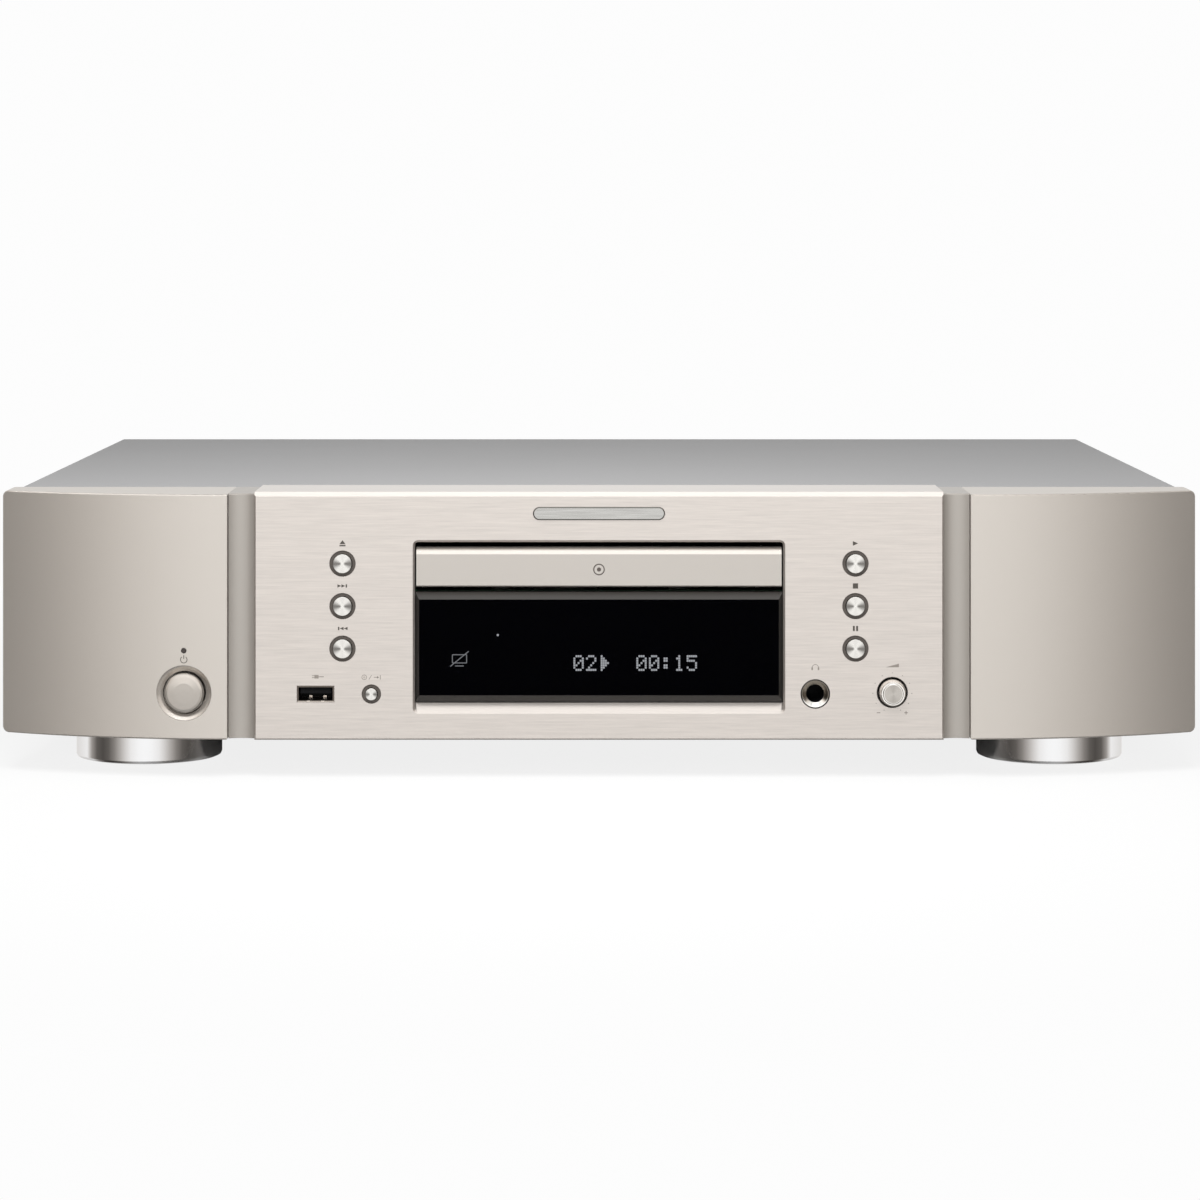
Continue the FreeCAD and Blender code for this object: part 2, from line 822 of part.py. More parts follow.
def build_wing(label, side):
    body = new_body(label)
    skin = wing_plan(sketch_on(body, "XY_Plane", "wing_low"), side, "0")
    feature(body, "Pad", skin, "wing_top - wing_low")
    end_x, rear_y = side * value("case_half"), value("panel_rear_y")
    edge_feature(
        body,
        "Fillet",
        "wing_corner",
        lambda e: runs(e, V(0, 1, 0)) and abs(middle(e).x - end_x) < 0.01,
    )
    edge_feature(
        body,
        "Fillet",
        "wing_edge",
        lambda e: middle(e).y < value("front_end_y") + 0.1 and not runs(e, V(0, 0, 1)),
    )
    hollow = wing_plan(sketch_on(body, "XY_Plane", "wing_low + wing_wall"), side, "wing_wall")
    feature(body, "Pocket", hollow, "wing_top - wing_low - 2 * wing_wall", reverse=True)
    return body


def build_left_wing():
    wing = build_wing("left_wing", -1)
    sub_parts.remove(wing)
    wing.Label = "left_wing_moulding"
    spot = ("power_x", "power_z")
    rim = rod(spot, "power_dish", "bore_front_y", "power_dish_y", "y")
    dish_back = "power_dish_y + power_dish_depth"
    dish = frustum(spot, "power_dish", "power_hole", "power_dish_y", dish_back, "y")
    hole = rod(spot, "power_hole", "bore_front_y", "bore_back_y", "y")
    lamp_spot = ("power_x", "lamp_z")
    lamp = rod(lamp_spot, "lamp_radius + running", "bore_front_y", "bore_back_y", "y")
    keep(cut(wing, rim, dish, hole, lamp), "left_wing")


def build_front_frame():
    wall = block(
        ("-frame_half", "frame_half"),
        ("frame_wall_y", "frame_wall_y + frame_wall"),
        ("frame_low", "frame_top"),
    )
    window = block(
        ("-frame_window_half", "frame_window_half"),
        ("frame_wall_y - 1", "frame_wall_y + frame_wall + 1"),
        ("frame_window_low", "frame_window_top"),
    )
    carrier_x = "plate_half - groove_gap"
    carrier = block(
        (f"-({carrier_x})", carrier_x),
        ("carrier_y", "carrier_y + carrier_wall"),
        ("plate_low + plate_flange + 0.1", "plate_top - plate_flange - 0.1"),
    )
    carrier_cut_y = ("carrier_y - 1", "carrier_y + carrier_wall + 1")
    carrier_cuts = [
        block(
            ("-window_half - 1", "window_half + 1"),
            carrier_cut_y,
            ("window_low + 2", "window_top + 1"),
        ),
        block(
            ("usb_x - usb_half_width - 0.4", "usb_x + usb_half_width + 0.4"),
            carrier_cut_y,
            ("low_row_z - usb_half_height - 0.4", "low_row_z + usb_half_height + 0.4"),
        ),
    ]
    for x, z, radius in button_holes() + [("phones_x", "low_row_z", "phones_hole")]:
        carrier_cuts.append(rod((x, z), f"{radius} + 0.02", *carrier_cut_y, "y"))
    posts = [build_groove_post(side) for side in (-1, 1)]
    for low_x, high_x in (("1 - wing_nose_x", "-plate_half - 1"), ("plate_half + 1", "wing_nose_x - 1")):
        posts.append(block((low_x, high_x), ("panel_rear_y - 1", "frame_wall_y + 0.5"), ("20", "100")))
    brace_y = ("carrier_y + carrier_wall - 0.5", "frame_wall_y + 0.5")
    braces = [block(span(x, "1.5"), brace_y, ("93", "100")) for x in (-76, 76)]
    keep(
        fuse(cut(wall, window), cut(carrier, *carrier_cuts), *posts, *braces),
        "front_frame",
    )


def build_groove_post(side):
    """The column whose hollow front is the groove's floor."""
    near, far = "plate_half + groove_gap", "wing_nose_x - groove_gap"
    x = (near, far) if side > 0 else (f"-({far})", f"-({near})")
    column = block(x, ("groove_floor_y - groove_lip", "panel_rear_y"), ("wing_low", "wing_top"))
    spot = (f"{side} * ({near} + {far}) / 2", "groove_floor_y - groove_arc")
    hollow = rod(spot, "groove_arc", "wing_low - 1", "wing_top + 1")
    top, floor = value("wing_top"), value("groove_floor_y")

    def top_front(edge):
        return abs(middle(edge).z - top) < 0.01 and middle(edge).y < floor + 0.01

    return soften(cut(column, hollow), "groove_edge", top_front)


def button_holes():
    """X, Z and radius of every round control hole in the centre plate."""
    holes = [(x, z, "key_hole") for _, x, z in key_places()]
    holes.append(("small_key_x", "low_row_z", "small_key_hole"))
    holes.append(("knob_x", "knob_z", "knob_hole"))
    return holes


def build_bezels():
    """Dark sleeves that line the control holes; each control runs inside one."""
    sleeves = []
    front = "plate_front_y + bezel_inset"
    inner = {
        "key_hole": "key_radius + bezel_gap",
        "small_key_hole": "small_key_radius + bezel_gap",
        "knob_hole": "knob_radius + 0.2",
    }
    for x, z, radius in button_holes():
        sleeves.append(
            tube((x, z), f"{radius} - 0.03", inner[radius], front, f"{front} + bezel_depth", "y")
        )
    keep(group(*sleeves), "button_bezels")


def build_button(label, x, z, radius, flange):
    """A turned metal cap with a shallow dished face and a flange behind its sleeve."""
    back = "-(bezel_inset + bezel_depth + 0.3)"
    body = turned(
        label,
        [
            ("0", "key_proud - 0.35"),
            (f"{radius} * 0.55", "key_proud - 0.22"),
            (f"{radius} * 0.86", "key_proud"),
            (f"{radius} - 0.12", "key_proud"),
            (radius, "key_proud - 0.12"),
            (radius, back),
            (flange, back),
            (flange, f"{back} - 1"),
            ("1.4", f"{back} - 1"),
            ("1.4", "-key_depth - 1.4"),
            ("0", "-key_depth - 1.4"),
        ],
    )
    return face_front(body, x, "plate_front_y", z)


def build_controls():
    for label, x, z in key_places():
        build_button(label, x, z, "key_radius", "key_hole - 0.25")
    build_button("source_button", "small_key_x", "low_row_z", "small_key_radius", "small_key_hole - 0.25")
    power = turned(
        "power_button",
        [
            ("0", "0.35"),
            ("power_radius * 0.5", "0.27"),
            ("power_radius * 0.82", "0.08"),
            ("power_radius - 0.5", "-0.16"),
            ("power_radius - 0.13", "-0.42"),
            ("power_radius", "-0.85"),
            ("power_radius", "-power_depth + 1.5"),
            ("power_radius + 2", "-power_depth + 1.5"),
            ("power_radius + 2", "-power_depth"),
            ("2.5", "-power_depth"),
            ("2.5", "-power_depth - 3"),
            ("0", "-power_depth - 3"),
        ],
    )
    face_front(power, "power_x", "power_front_y", "power_z")
    knob = turned(
        "level_knob",
        [
            ("0", "knob_proud"),
            ("knob_cap_radius", "knob_proud"),
            ("knob_cap_radius + 0.3", "knob_proud - 0.35"),
            ("knob_crown - 0.3", "knob_proud - 0.5"),
            ("knob_crown", "knob_proud - 0.9"),
            ("knob_radius", "0.4"),
            ("knob_radius", "-3"),
            ("knob_stem", "-3"),
            ("knob_stem", "-knob_stem_end"),
            ("0", "-knob_stem_end"),
        ],
    )
    face_front(knob, "knob_x", "plate_front_y", "knob_z")
    spot = ("power_x", "lamp_z")
    lamp = rod(spot, "lamp_radius", "-162.9", "bore_back_y", "y")
    lamp_head = rod(spot, "lamp_radius + 1", "bore_back_y - 2", "bore_back_y", "y")
    keep(fuse(lamp, lamp_head), "standby_lamp")


def build_front_sockets():
    spot = ("phones_x", "low_row_z")
    mouth = "plate_front_y + 0.5"
    barrel = rod(spot, "phones_ring", mouth, f"{mouth} + 9", "y")
    housing = rod(spot, "8", "board_y - 4", f"{mouth} + phones_length", "y")
    bore = rod(spot, "phones_bore", f"{mouth} - 1", f"{mouth} + phones_length - 1", "y")
    bevel = frustum(spot, "phones_ring - 0.3", "phones_bore", mouth, f"{mouth} + 1.3", "y")
    keep(cut(fuse(barrel, housing), bore, bevel), "phones_socket")

    x = ("usb_x - usb_half_width + 0.15", "usb_x + usb_half_width - 0.15")
    z = ("low_row_z - usb_half_height + 0.15", "low_row_z + usb_half_height - 0.15")
    shell = block(x, ("plate_front_y + 0.2", "board_y - 0.1"), z)
    cavity = block(
        (f"{x[0]} + 0.4", f"{x[1]} - 0.4"),
        ("plate_front_y - 1", "board_y - 2"),
        (f"{z[0]} + 0.4", f"{z[1]} - 0.4"),
    )
    tongue = block(
        span("usb_x", "5.6"),
        ("plate_front_y + 1.6", "board_y - 1.5"),
        ("low_row_z + 0.1", "low_row_z + 1.9"),
    )
    keep(fuse(cut(shell, cavity), tongue), "usb_socket")


def build_display():
    lens = new_body("display_lens")
    base_x = "lens_half"
    face_x = "lens_half - lens_side_bevel"
    face = outline(
        sketch_on(lens, "XZ_Plane", "-lens_front_y"),
        (f"-({face_x})", "lens_low + lens_end_bevel"),
        (face_x, "lens_low + lens_end_bevel"),
        (face_x, "lens_top - lens_end_bevel"),
        (f"-({face_x})", "lens_top - lens_end_bevel"),
    )
    base = outline(
        sketch_on(lens, "XZ_Plane", "-lens_front_y - lens_bevel"),
        (f"-{base_x}", "lens_low"),
        (base_x, "lens_low"),
        (base_x, "lens_top"),
        (f"-{base_x}", "lens_top"),
    )
    bevel = lens.newObject("PartDesign::AdditiveLoft", "lens_bevel")
    bevel.Profile = face
    bevel.Sections = [base]
    lens.Tip = bevel
    back = outline(
        sketch_on(lens, "XZ_Plane", "-lens_front_y - lens_bevel"),
        (f"-{base_x}", "lens_low"),
        (base_x, "lens_low"),
        (base_x, "lens_top"),
        (f"-{base_x}", "lens_top"),
    )
    feature(lens, "Pad", back, "lens_back_y - lens_front_y - lens_bevel", reverse=True)
    keep(
        block(("-58", "58"), ("lens_back_y + 0.3", "board_y - 0.2"), ("lens_low + 4", "lens_top - 4")),
        "display_panel",
    )

    badge = new_body("badge_bar")
    bar = rounded_box(
        sketch_on(badge, "XZ_Plane", "-plate_front_y"),
        ("-badge_half", "badge_half"),
        ("badge_z - badge_height / 2", "badge_z + badge_height / 2"),
        "badge_height / 2 - 0.01",
    )
    feature(badge, "Pad", bar, "badge_proud")
    front = value("plate_front_y - badge_proud")
    edge_feature(badge, "Fillet", "badge_proud / 2", lambda e: abs(middle(e).y - front) < 0.01)


def build_front_board():
    y = ("board_y", "board_y + board_sheet")
    plate = block(("-122", "122"), y, ("19", "68"))
    wings = [block(x, y, ("67", "92")) for x in (("-122", "-78"), ("78", "122"))]
    phones_clear = rod(("phones_x", "low_row_z"), "8.4", "board_y - 2", "board_y + 4", "y")
    board = cut(fuse(plate, *wings), phones_clear)
    fitted = []
    stem_end = "plate_front_y + key_depth + 1.4 + key_travel + 0.3"
    for _, x, z in list(key_places()) + [("", "small_key_x", "low_row_z")]:
        case_y = (f"{stem_end} + 0.7", "board_y")
        case = block(span(x, "3"), case_y, span(z, "3"))
        plunger = rod((x, z), "1.7", stem_end, f"{stem_end} + 1", "y")
        fitted.append(fuse(case, plunger))
    spot = ("knob_x", "knob_z")
    pot_y = ("plate_front_y + knob_stem_end - 2", "board_y")
    pot = block(span("knob_x", "5"), pot_y, span("knob_z", "5"))
    shaft_end = "plate_front_y + knob_stem_end + 0.3"
    shaft_bore = rod(spot, "knob_stem + running", "carrier_y", shaft_end, "y")
    fitted.append(cut(pot, shaft_bore))
    keep(group(board, *fitted), "front_board")
    switch = block(
        span("power_x", "8"),
        ("power_front_y + power_depth + 3 + power_travel + 0.4", "frame_wall_y - 0.05"),
        span("power_z", "7"),
    )
    keep(switch, "power_switch")


# ---------------------------------------------------------------- tray and loader


def build_tray():
    door = new_body("tray_door")
    front = outline(
        sketch_on(door, "XZ_Plane", "-door_front_y"),
        ("-door_half", "door_low"),
        ("door_half", "door_low"),
        ("door_half", "door_top"),
        ("-door_half", "door_top"),
    )
    feature(door, "Pad", front, "door_back_y - door_front_y", reverse=True)
    front_y, top = value("door_front_y"), value("door_top")
    edge_feature(
        door,
        "Fillet",
        "door_round",
        lambda e: abs(middle(e).y - front_y) < 0.01 and abs(middle(e).z - top) < 0.01,
    )
    low = value("door_low")
    edge_feature(
        door,
        "Chamfer",
        "plate_side_chamfer",
        lambda e: abs(middle(e).y - front_y) < 0.01 and abs(middle(e).z - low) < 0.01,
    )

    tray = doc.addObject("PartDesign::Body", "tray_moulding")
    tray_front = "door_back_y + 0.05"
    plan = outline(
        sketch_on(tray, "XY_Plane", "tray_low"),
        ("-tray_half", tray_front),
        ("tray_half", tray_front),
        ("tray_half", "tray_rear_y"),
        ("tray_slot_half", "tray_rear_y"),
        ("tray_slot_half", "tray_slot_front_y"),
        ("-tray_slot_half", "tray_slot_front_y"),
        ("-tray_slot_half", "tray_rear_y"),
        ("-tray_half", "tray_rear_y"),
    )
    feature(tray, "Pad", plan, "tray_top - tray_low")
    large = circle(sketch_on(tray, "XY_Plane", "disc_floor"), "0", "disc_y", "disc_recess")
    feature(tray, "Pocket", large, "10", reverse=True)
    small = circle(sketch_on(tray, "XY_Plane", "small_disc_floor"), "0", "disc_y", "small_disc_recess")
    feature(tray, "Pocket", small, "10", reverse=True)
    scoop = rounded_box(
        sketch_on(tray, "XY_Plane", "small_disc_floor"), ("-17", "17"), ("-150", "-130"), "8"
    )
    feature(tray, "Pocket", scoop, "10", reverse=True)
    rim = value("tray_top")

    def round_rim(edge):
        return abs(middle(edge).z - rim) < 0.01 and not isinstance(edge.Curve, Part.Line)

    edge_feature(tray, "Chamfer", "0.4", round_rim)
    rack = rack_face(
        value("tray_module"), value("door_back_y + 6"), value("tray_rear_y - 4"), value("drive_y"), 5.5, 1
    )
    rack_height = value("tray_low - tray_rack_low") + 0.5
    rack_piece = solid_piece(rack.extrude(V(0, 0, rack_height)), "tray_rack_x", "0", "tray_rack_low")
    keep(fuse(tray, rack_piece), "disc_tray")


def build_loader():
    inner = "loader_half - loader_wall"
    floor_top = "loader_low + loader_floor"
    width = ("-loader_half", "loader_half")
    deck_top = "deck_low + 2.5"
    floor = block(width, ("loader_front_y", "loader_rear_y"), ("loader_low", floor_top))
    floor_window = block(("-38", "28"), ("-60", "40"), ("loader_low - 1", f"{floor_top} + 1"))
    front_wall = block(width, ("loader_front_y", "loader_front_y + 2.4"), ("loader_low", deck_top))
    deck = block(width, ("loader_nose_y", "loader_front_y + 1"), ("deck_low", deck_top))
    pieces = [cut(floor, floor_window), front_wall, deck]
    for side in (-1, 1):
        ends = (f"{side} * loader_half", f"{side} * ({inner})")
        x = ends if side < 0 else ends[::-1]
        pieces.append(block(x, ("loader_side_y", "loader_rear_y"), ("loader_low", "loader_top")))
        rail = (f"{side} * ({inner} + 0.5)", f"{side} * 61")
        rail = rail if side < 0 else rail[::-1]
        pieces.append(block(rail, ("loader_side_y", "loader_rear_y"), ("71", "tray_low - slip")))
        lid = ("tray_top + slip", "tray_top + slip + 1.8")
        pieces.append(block(rail, ("loader_side_y", "-96"), lid))
        for y in ("-95", "50"):
            leg = (f"{side} * loader_leg_x", y)
            pieces.append(rod(leg, "5", "floor_low + floor_sheet + 0.02", "loader_low + 1"))
    for x, y in unit_posts():
        pieces.append(rod((x, y), "post_radius", f"{floor_top} - 0.5", "post_top"))
    # the cam plate slides on a ledge and under a hook
    guide_y = ("loader_front_y + 2", "cam_y + cam_sheet + 0.4")
    hook_x, hook_top = ("6", "18"), "pin_z + lift + 5"
    pieces.append(block(("-30", "30"), guide_y, ("pin_z - 11", "pin_z - 8 - 0.2")))
    pieces.append(block(hook_x, ("loader_front_y", "loader_front_y + 2.4"), ("deck_low", hook_top)))
    pieces.append(block(hook_x, guide_y, ("pin_z + lift + 3.6", hook_top)))
    for x in (TRAY_GEAR_X, PULLEY_GEAR_X):
        pieces.append(rod((x, "drive_y"), "1.5", "deck_low + 2", "gear_high - 0.2"))
    motor_spot = ("motor_x", "drive_y")
    shaft_hole = rod(motor_spot, "3", "deck_low - 1", "deck_low + 3.5")
    keep(cut(fuse(*pieces), shaft_hole), "loader_frame")

    bridge_top = "loader_top + 0.02 + bridge_sheet"
    y = span("disc_y", "bridge_half_depth")
    strip = block(("-loader_half", "loader_half"), y, ("loader_top + 0.02", bridge_top))
    rib_z = (f"{bridge_top} - 0.3", f"{bridge_top} + 3")
    rib_places = (f"{y[0]} + 0.75", f"{y[1]} - 0.75")
    ribs = [block(("-55", "55"), span(place, "0.75"), rib_z) for place in rib_places]
    neck_hole = rod(("0", "disc_y"), "clamp_hole", "80", "95")
    keep(cut(fuse(strip, *ribs), neck_hole), "clamp_bridge")

    spot = ("0", "disc_y")
    puck = fuse(
        rod(spot, "14", "clamp_low", "clamp_low + 3.2"),
        rod(spot, "clamp_hole - 0.4", "clamp_low + 3", f"{bridge_top} + 0.8"),
        rod(spot, "15.4", f"{bridge_top} + 0.4", f"{bridge_top} + 2"),
    )
    keep(cut(puck, rod(spot, "8.2", "clamp_low - 1", "clamp_low + 3.4")), "clamper")


TRAY_GEAR_X = "(tray_rack_x + tray_gear_teeth * tray_module / 2)"
PULLEY_GEAR_X = f"({TRAY_GEAR_X} + (tray_gear_teeth + pulley_gear_teeth) * tray_module / 2)"


def unit_posts():
    """X and Y of the four posts that the drive unit rides up and down on."""
    x = ("unit_left + 6", "unit_right - 6")
    return [(a, b) for a in x for b in ("unit_front_y + 6", "unit_rear_y - 6")]


def build_tray_drive():
    axle = "1.5 + running"
    low, high = "gear_low", "gear_high"
    teeth = spur("tray_gear_teeth", "tray_module", math.pi, TRAY_GEAR_X, "drive_y", low, high)
    spot = (TRAY_GEAR_X, "drive_y")
    hub = rod(spot, "4", "deck_low + 2.6", "gear_high")
    keep(cut(fuse(teeth, hub), rod(spot, axle, "50", "80")), "tray_gear")

    spot = (PULLEY_GEAR_X, "drive_y")
    tooth = math.pi + math.pi / value("pulley_gear_teeth")
    pinion = spur("pulley_gear_teeth", "tray_module", tooth, PULLEY_GEAR_X, "drive_y", low, high)
    pulley = rod(spot, "pulley_radius", "pulley_low", "pulley_high")
    hub = rod(spot, "4.4", "deck_low + 2.6", "gear_low + 0.3")
    groove = belt_groove(spot, "pulley_radius")
    keep(cut(fuse(pinion, pulley, hub), groove, rod(spot, axle, "50", "80")), "pulley_gear")

    spot = ("motor_x", "drive_y")
    small = rod(spot, "motor_pulley_radius", "pulley_low", "pulley_high")
    groove = belt_groove(spot, "motor_pulley_radius")
    keep(cut(small, groove, rod(spot, "1 + running", "50", "80")), "motor_pulley")

    can = rod(spot, "motor_radius", "motor_low", "deck_low - 0.02")
    end_boss = rod(spot, "2.8", "deck_low - 0.5", "deck_low + 2")
    shaft = rod(spot, "1", "deck_low - 1", "pulley_high + 0.5")
    keep(fuse(can, end_boss, shaft), "tray_motor")

    build_belt()


def belt_groove(spot, radius):
    """The ring cut out of a pulley for the belt, a little wider and deeper than the belt."""
    middle_z = "(pulley_low + pulley_high) / 2"
    low, high = f"{middle_z} - belt_half - 0.1", f"{middle_z} + belt_half + 0.1"
    return tube(spot, f"{radius} + 1", f"{radius} - 2 * belt_half", low, high)


def build_belt():
    """A square belt round both pulleys, drawn from its two arcs and the straight runs between."""
    gap = value("running")
    thick = 2 * value("belt_half") - 0.1
    first = V(value(PULLEY_GEAR_X), value("drive_y"), 0)
    second = V(value("motor_x"), value("drive_y"), 0)
    radii = [value(f"{name} - 2 * belt_half") + gap for name in ("pulley_radius", "motor_pulley_radius")]
    faces = []
    for extra in (thick, 0):
        large, small = radii[0] + extra, radii[1] + extra
        angle = math.acos((large - small) / (second.x - first.x))
        upper, lower = V(math.cos(angle), math.sin(angle), 0), V(math.cos(angle), -math.sin(angle), 0)
        round_large = Part.Arc(first + upper * large, first - V(large, 0, 0), first + lower * large)
        round_small = Part.Arc(second + lower * small, second + V(small, 0, 0), second + upper * small)
        runs_between = [
            Part.LineSegment(first + lower * large, second + lower * small),
            Part.LineSegment(second + upper * small, first + upper * large),
        ]
        edges = [round_large, runs_between[0], round_small, runs_between[1]]
        faces.append(Part.Face(Part.Wire([e.toShape() for e in edges])))
    height = 2 * value("belt_half")
    band = faces[0].cut(faces[1]).extrude(V(0, 0, height))
    keep(solid_piece(band, z="(pulley_low + pulley_high) / 2 - belt_half"), "drive_belt")


# ---------------------------------------------------------------- drive unit


def build_cam():
    """The plate that slides sideways and lifts the drive unit by two slanted slots."""
    y = ("cam_y", "cam_y + cam_sheet")
    plate = block(("-46", "34"), y, ("pin_z - 8", "pin_z + lift + 3.4"))
    slots = []
    rise, run = value("lift"), value("cam_travel")
    slack = 0.15
    radius = value("pin_radius") + slack
    for pin_x in PIN_X:
        # the slot runs from the pin at rest to where the pin is once the plate has moved
        start = V(value(pin_x), 0, value("pin_z"))
        end = start + V(-run, 0, rise)
        along = (end - start).normalize()
        across = V(-along.z, 0, along.x) * radius
        corners = [start + across, end + across, end + along * radius, end - across]
        corners += [start - across, start - along * radius]
        edges = [
            Part.LineSegment(corners[0], corners[1]),
            Part.Arc(corners[1], corners[2], corners[3]),
            Part.LineSegment(corners[3], corners[4]),
            Part.Arc(corners[4], corners[5], corners[0]),
        ]
        face = Part.Face(Part.Wire([e.toShape() for e in edges]))
        slots.append(solid_piece(face.extrude(V(0, 10, 0)), y="cam_y - 4"))
    keep(cut(plate, *slots), "cam_slider")


PIN_X = ("-20", "14")


def build_drive_unit():
    low, high = "unit_low", "unit_low + unit_sheet"
    sheet_block = block(("unit_left", "unit_right"), ("unit_front_y", "unit_rear_y"), (low, high))
    skirt_y = ("unit_front_y", "unit_front_y + 3")
    skirt = block(("-28", "20"), skirt_y, ("pin_z - 3", f"{low} + 1"))
    pins = [rod((x, "pin_z"), "pin_radius", "cam_y - 0.2", "unit_front_y + 1", "y") for x in PIN_X]
    cuts = [
        block(("-bay_half", "bay_half"), ("bay_front_y", "bay_rear_y"), ("50", "70")),
        rod(("0", "disc_y"), "5", "50", "70"),
        rod((SLED_PINION_X, "sled_gear_y"), "2.2", "50", "70"),
    ]
    for x in GUIDES:
        cuts.append(rod((x, "guide_z"), "guide_radius + 0.02", "bay_front_y - 3", "bay_rear_y + 3", "y"))
    for x, y in unit_posts():
        cuts.append(rod((x, y), "4.04", "50", "70"))
    axle = rod((SLED_GEAR_X, "sled_gear_y"), "1", f"{high} - 0.5", "66.8")
    keep(fuse(cut(fuse(sheet_block, skirt, *pins), *cuts), axle), "traverse_frame")

    grommets = []
    for x, y in unit_posts():
        ring = rod((x, y), "4", f"{low} - 1", f"{high} + 1")
        collars = [
            rod((x, y), "5.2", f"{low} - 1.6", f"{low} - 0.02"),
            rod((x, y), "5.2", f"{high} + 0.02", f"{high} + 1.6"),
        ]
        bore = rod((x, y), "post_radius + running", "50", "70")
        grommets.append(cut(fuse(ring, *collars), bore))
    keep(group(*grommets), "damper_grommets")

    spot = ("0", "disc_y")
    can = rod(spot, "spindle_motor_radius", f"{low} - 9", f"{low} - 0.02")
    neck = rod(spot, "4.9", f"{low} - 0.5", f"{high}")
    shaft = rod(spot, "1", f"{low}", "turntable_top - 0.5")
    keep(fuse(can, neck, shaft), "spindle_motor")

    platter_low = "turntable_top - 1.7"
    table = fuse(
        rod(spot, "turntable_radius", platter_low, "turntable_top"),
        rod(spot, "4", f"{high} + 0.3", platter_low),
        rod(spot, "hub_radius", platter_low, "turntable_top + 1.2"),
        frustum(spot, "hub_radius", "hub_radius - 2.2", "turntable_top + 1.2", "turntable_top + 3.2"),
    )
    keep(cut(table, rod(spot, "1 + running", "50", "turntable_top - 0.2")), "turntable")

    reach = ("bay_front_y - 2.8", "bay_rear_y + 2.8")
    rods = [rod((x, "guide_z"), "guide_radius", *reach, "y") for x in GUIDES]
    keep(group(*rods), "guide_rods")
    build_pickup(high)
    build_sled_drive(low, high)


GUIDES = ("-guide_x", "guide_x")
SLED_GEAR_X = "(sled_rack_x - sled_teeth * sled_module / 2)"
SLED_PINION_X = f"({SLED_GEAR_X} - (wheel_teeth + sled_pinion_teeth) * wheel_module / 2)"


def build_pickup(sheet_top):
    y = ("lens_y - 5.5", "lens_y + 14.5")
    body = block(("-sled_half", "sled_half"), y, ("58.4", "66.4"))
    well = block(("-8.5", "8.5"), ("lens_y - 4", "lens_y + 9"), ("62.4", "70"))
    bores = [rod((x, "guide_z"), "guide_radius + running", "-70", "-30", "y") for x in GUIDES]
    arm_x = ("sled_rack_x + 0.9", "1 - sled_half")
    arm = block(arm_x, (y[0], "-24"), ("64.9", "66.9"))
    reach = value("sled_rack_x - (1 - sled_half)")
    teeth = rack_face(
        value("sled_module"), value(y[0]), value("-24"), value("sled_gear_y"), -reach - 2, -1
    )
    rack = solid_piece(teeth.extrude(V(0, 0, 2)), "sled_rack_x", "0", "64.9")
    keep(fuse(cut(body, well, *bores), arm, rack), "pickup_sled")

    spot = ("0", "lens_y")
    frame = block(("-6.5", "6.5"), ("lens_y - 3", "lens_y + 7.5"), ("64", "68.2"))
    barrel = rod(spot, "2.9", "68", "69.6")
    dome = frustum(spot, "2.1", "1.2", "69.4", "70")
    keep(fuse(frame, barrel, dome), "lens_holder")


def build_sled_drive(low, high):
    spot = (SLED_GEAR_X, "sled_gear_y")
    wheel = spur("wheel_teeth", "wheel_module", math.pi, *spot, f"{high} + 0.2", "64.5")
    pinion = spur("sled_teeth", "sled_module", 0, *spot, "64.4", "66.95")
    keep(cut(fuse(wheel, pinion), rod(spot, "1 + running", "50", "70")), "sled_gear")

    spot = (SLED_PINION_X, "sled_gear_y")
    tooth = math.pi / value("sled_pinion_teeth")
    small = spur("sled_pinion_teeth", "wheel_module", tooth, *spot, f"{high} + 0.1", "64.7")
    keep(cut(small, rod(spot, "0.75 + running", "50", "70")), "sled_pinion")
    can = rod(spot, "6", f"{low} - 9.5", f"{low} - 0.02")
    shaft = rod(spot, "0.75", f"{low} - 1", "65")
    keep(fuse(can, shaft), "sled_motor")


# ---------------------------------------------------------------- electronics and rear


# X, Y, radius and height of each capacitor
MAIN_CAPACITORS = (
    (190, 112, 5, 12),
    (178, 112, 5, 12),
    (142, 122, 5, 12),
    (130, 122, 5, 12),
    (100, 110, 4, 9),
    (196, 0, 6, 16),
)
POWER_CAPACITORS = (
    (-180, -60, 12.5, 36),
    (-150, -60, 12.5, 36),
    (-180, -25, 9, 28),
    (-155, -25, 9, 28),
    (-120, 20, 6, 16),
    (-104, 20, 6, 16),
)


def capacitors(places, low):
    return [rod((str(x), str(y)), str(r), low, f"{low} + {tall}") for x, y, r, tall in places]


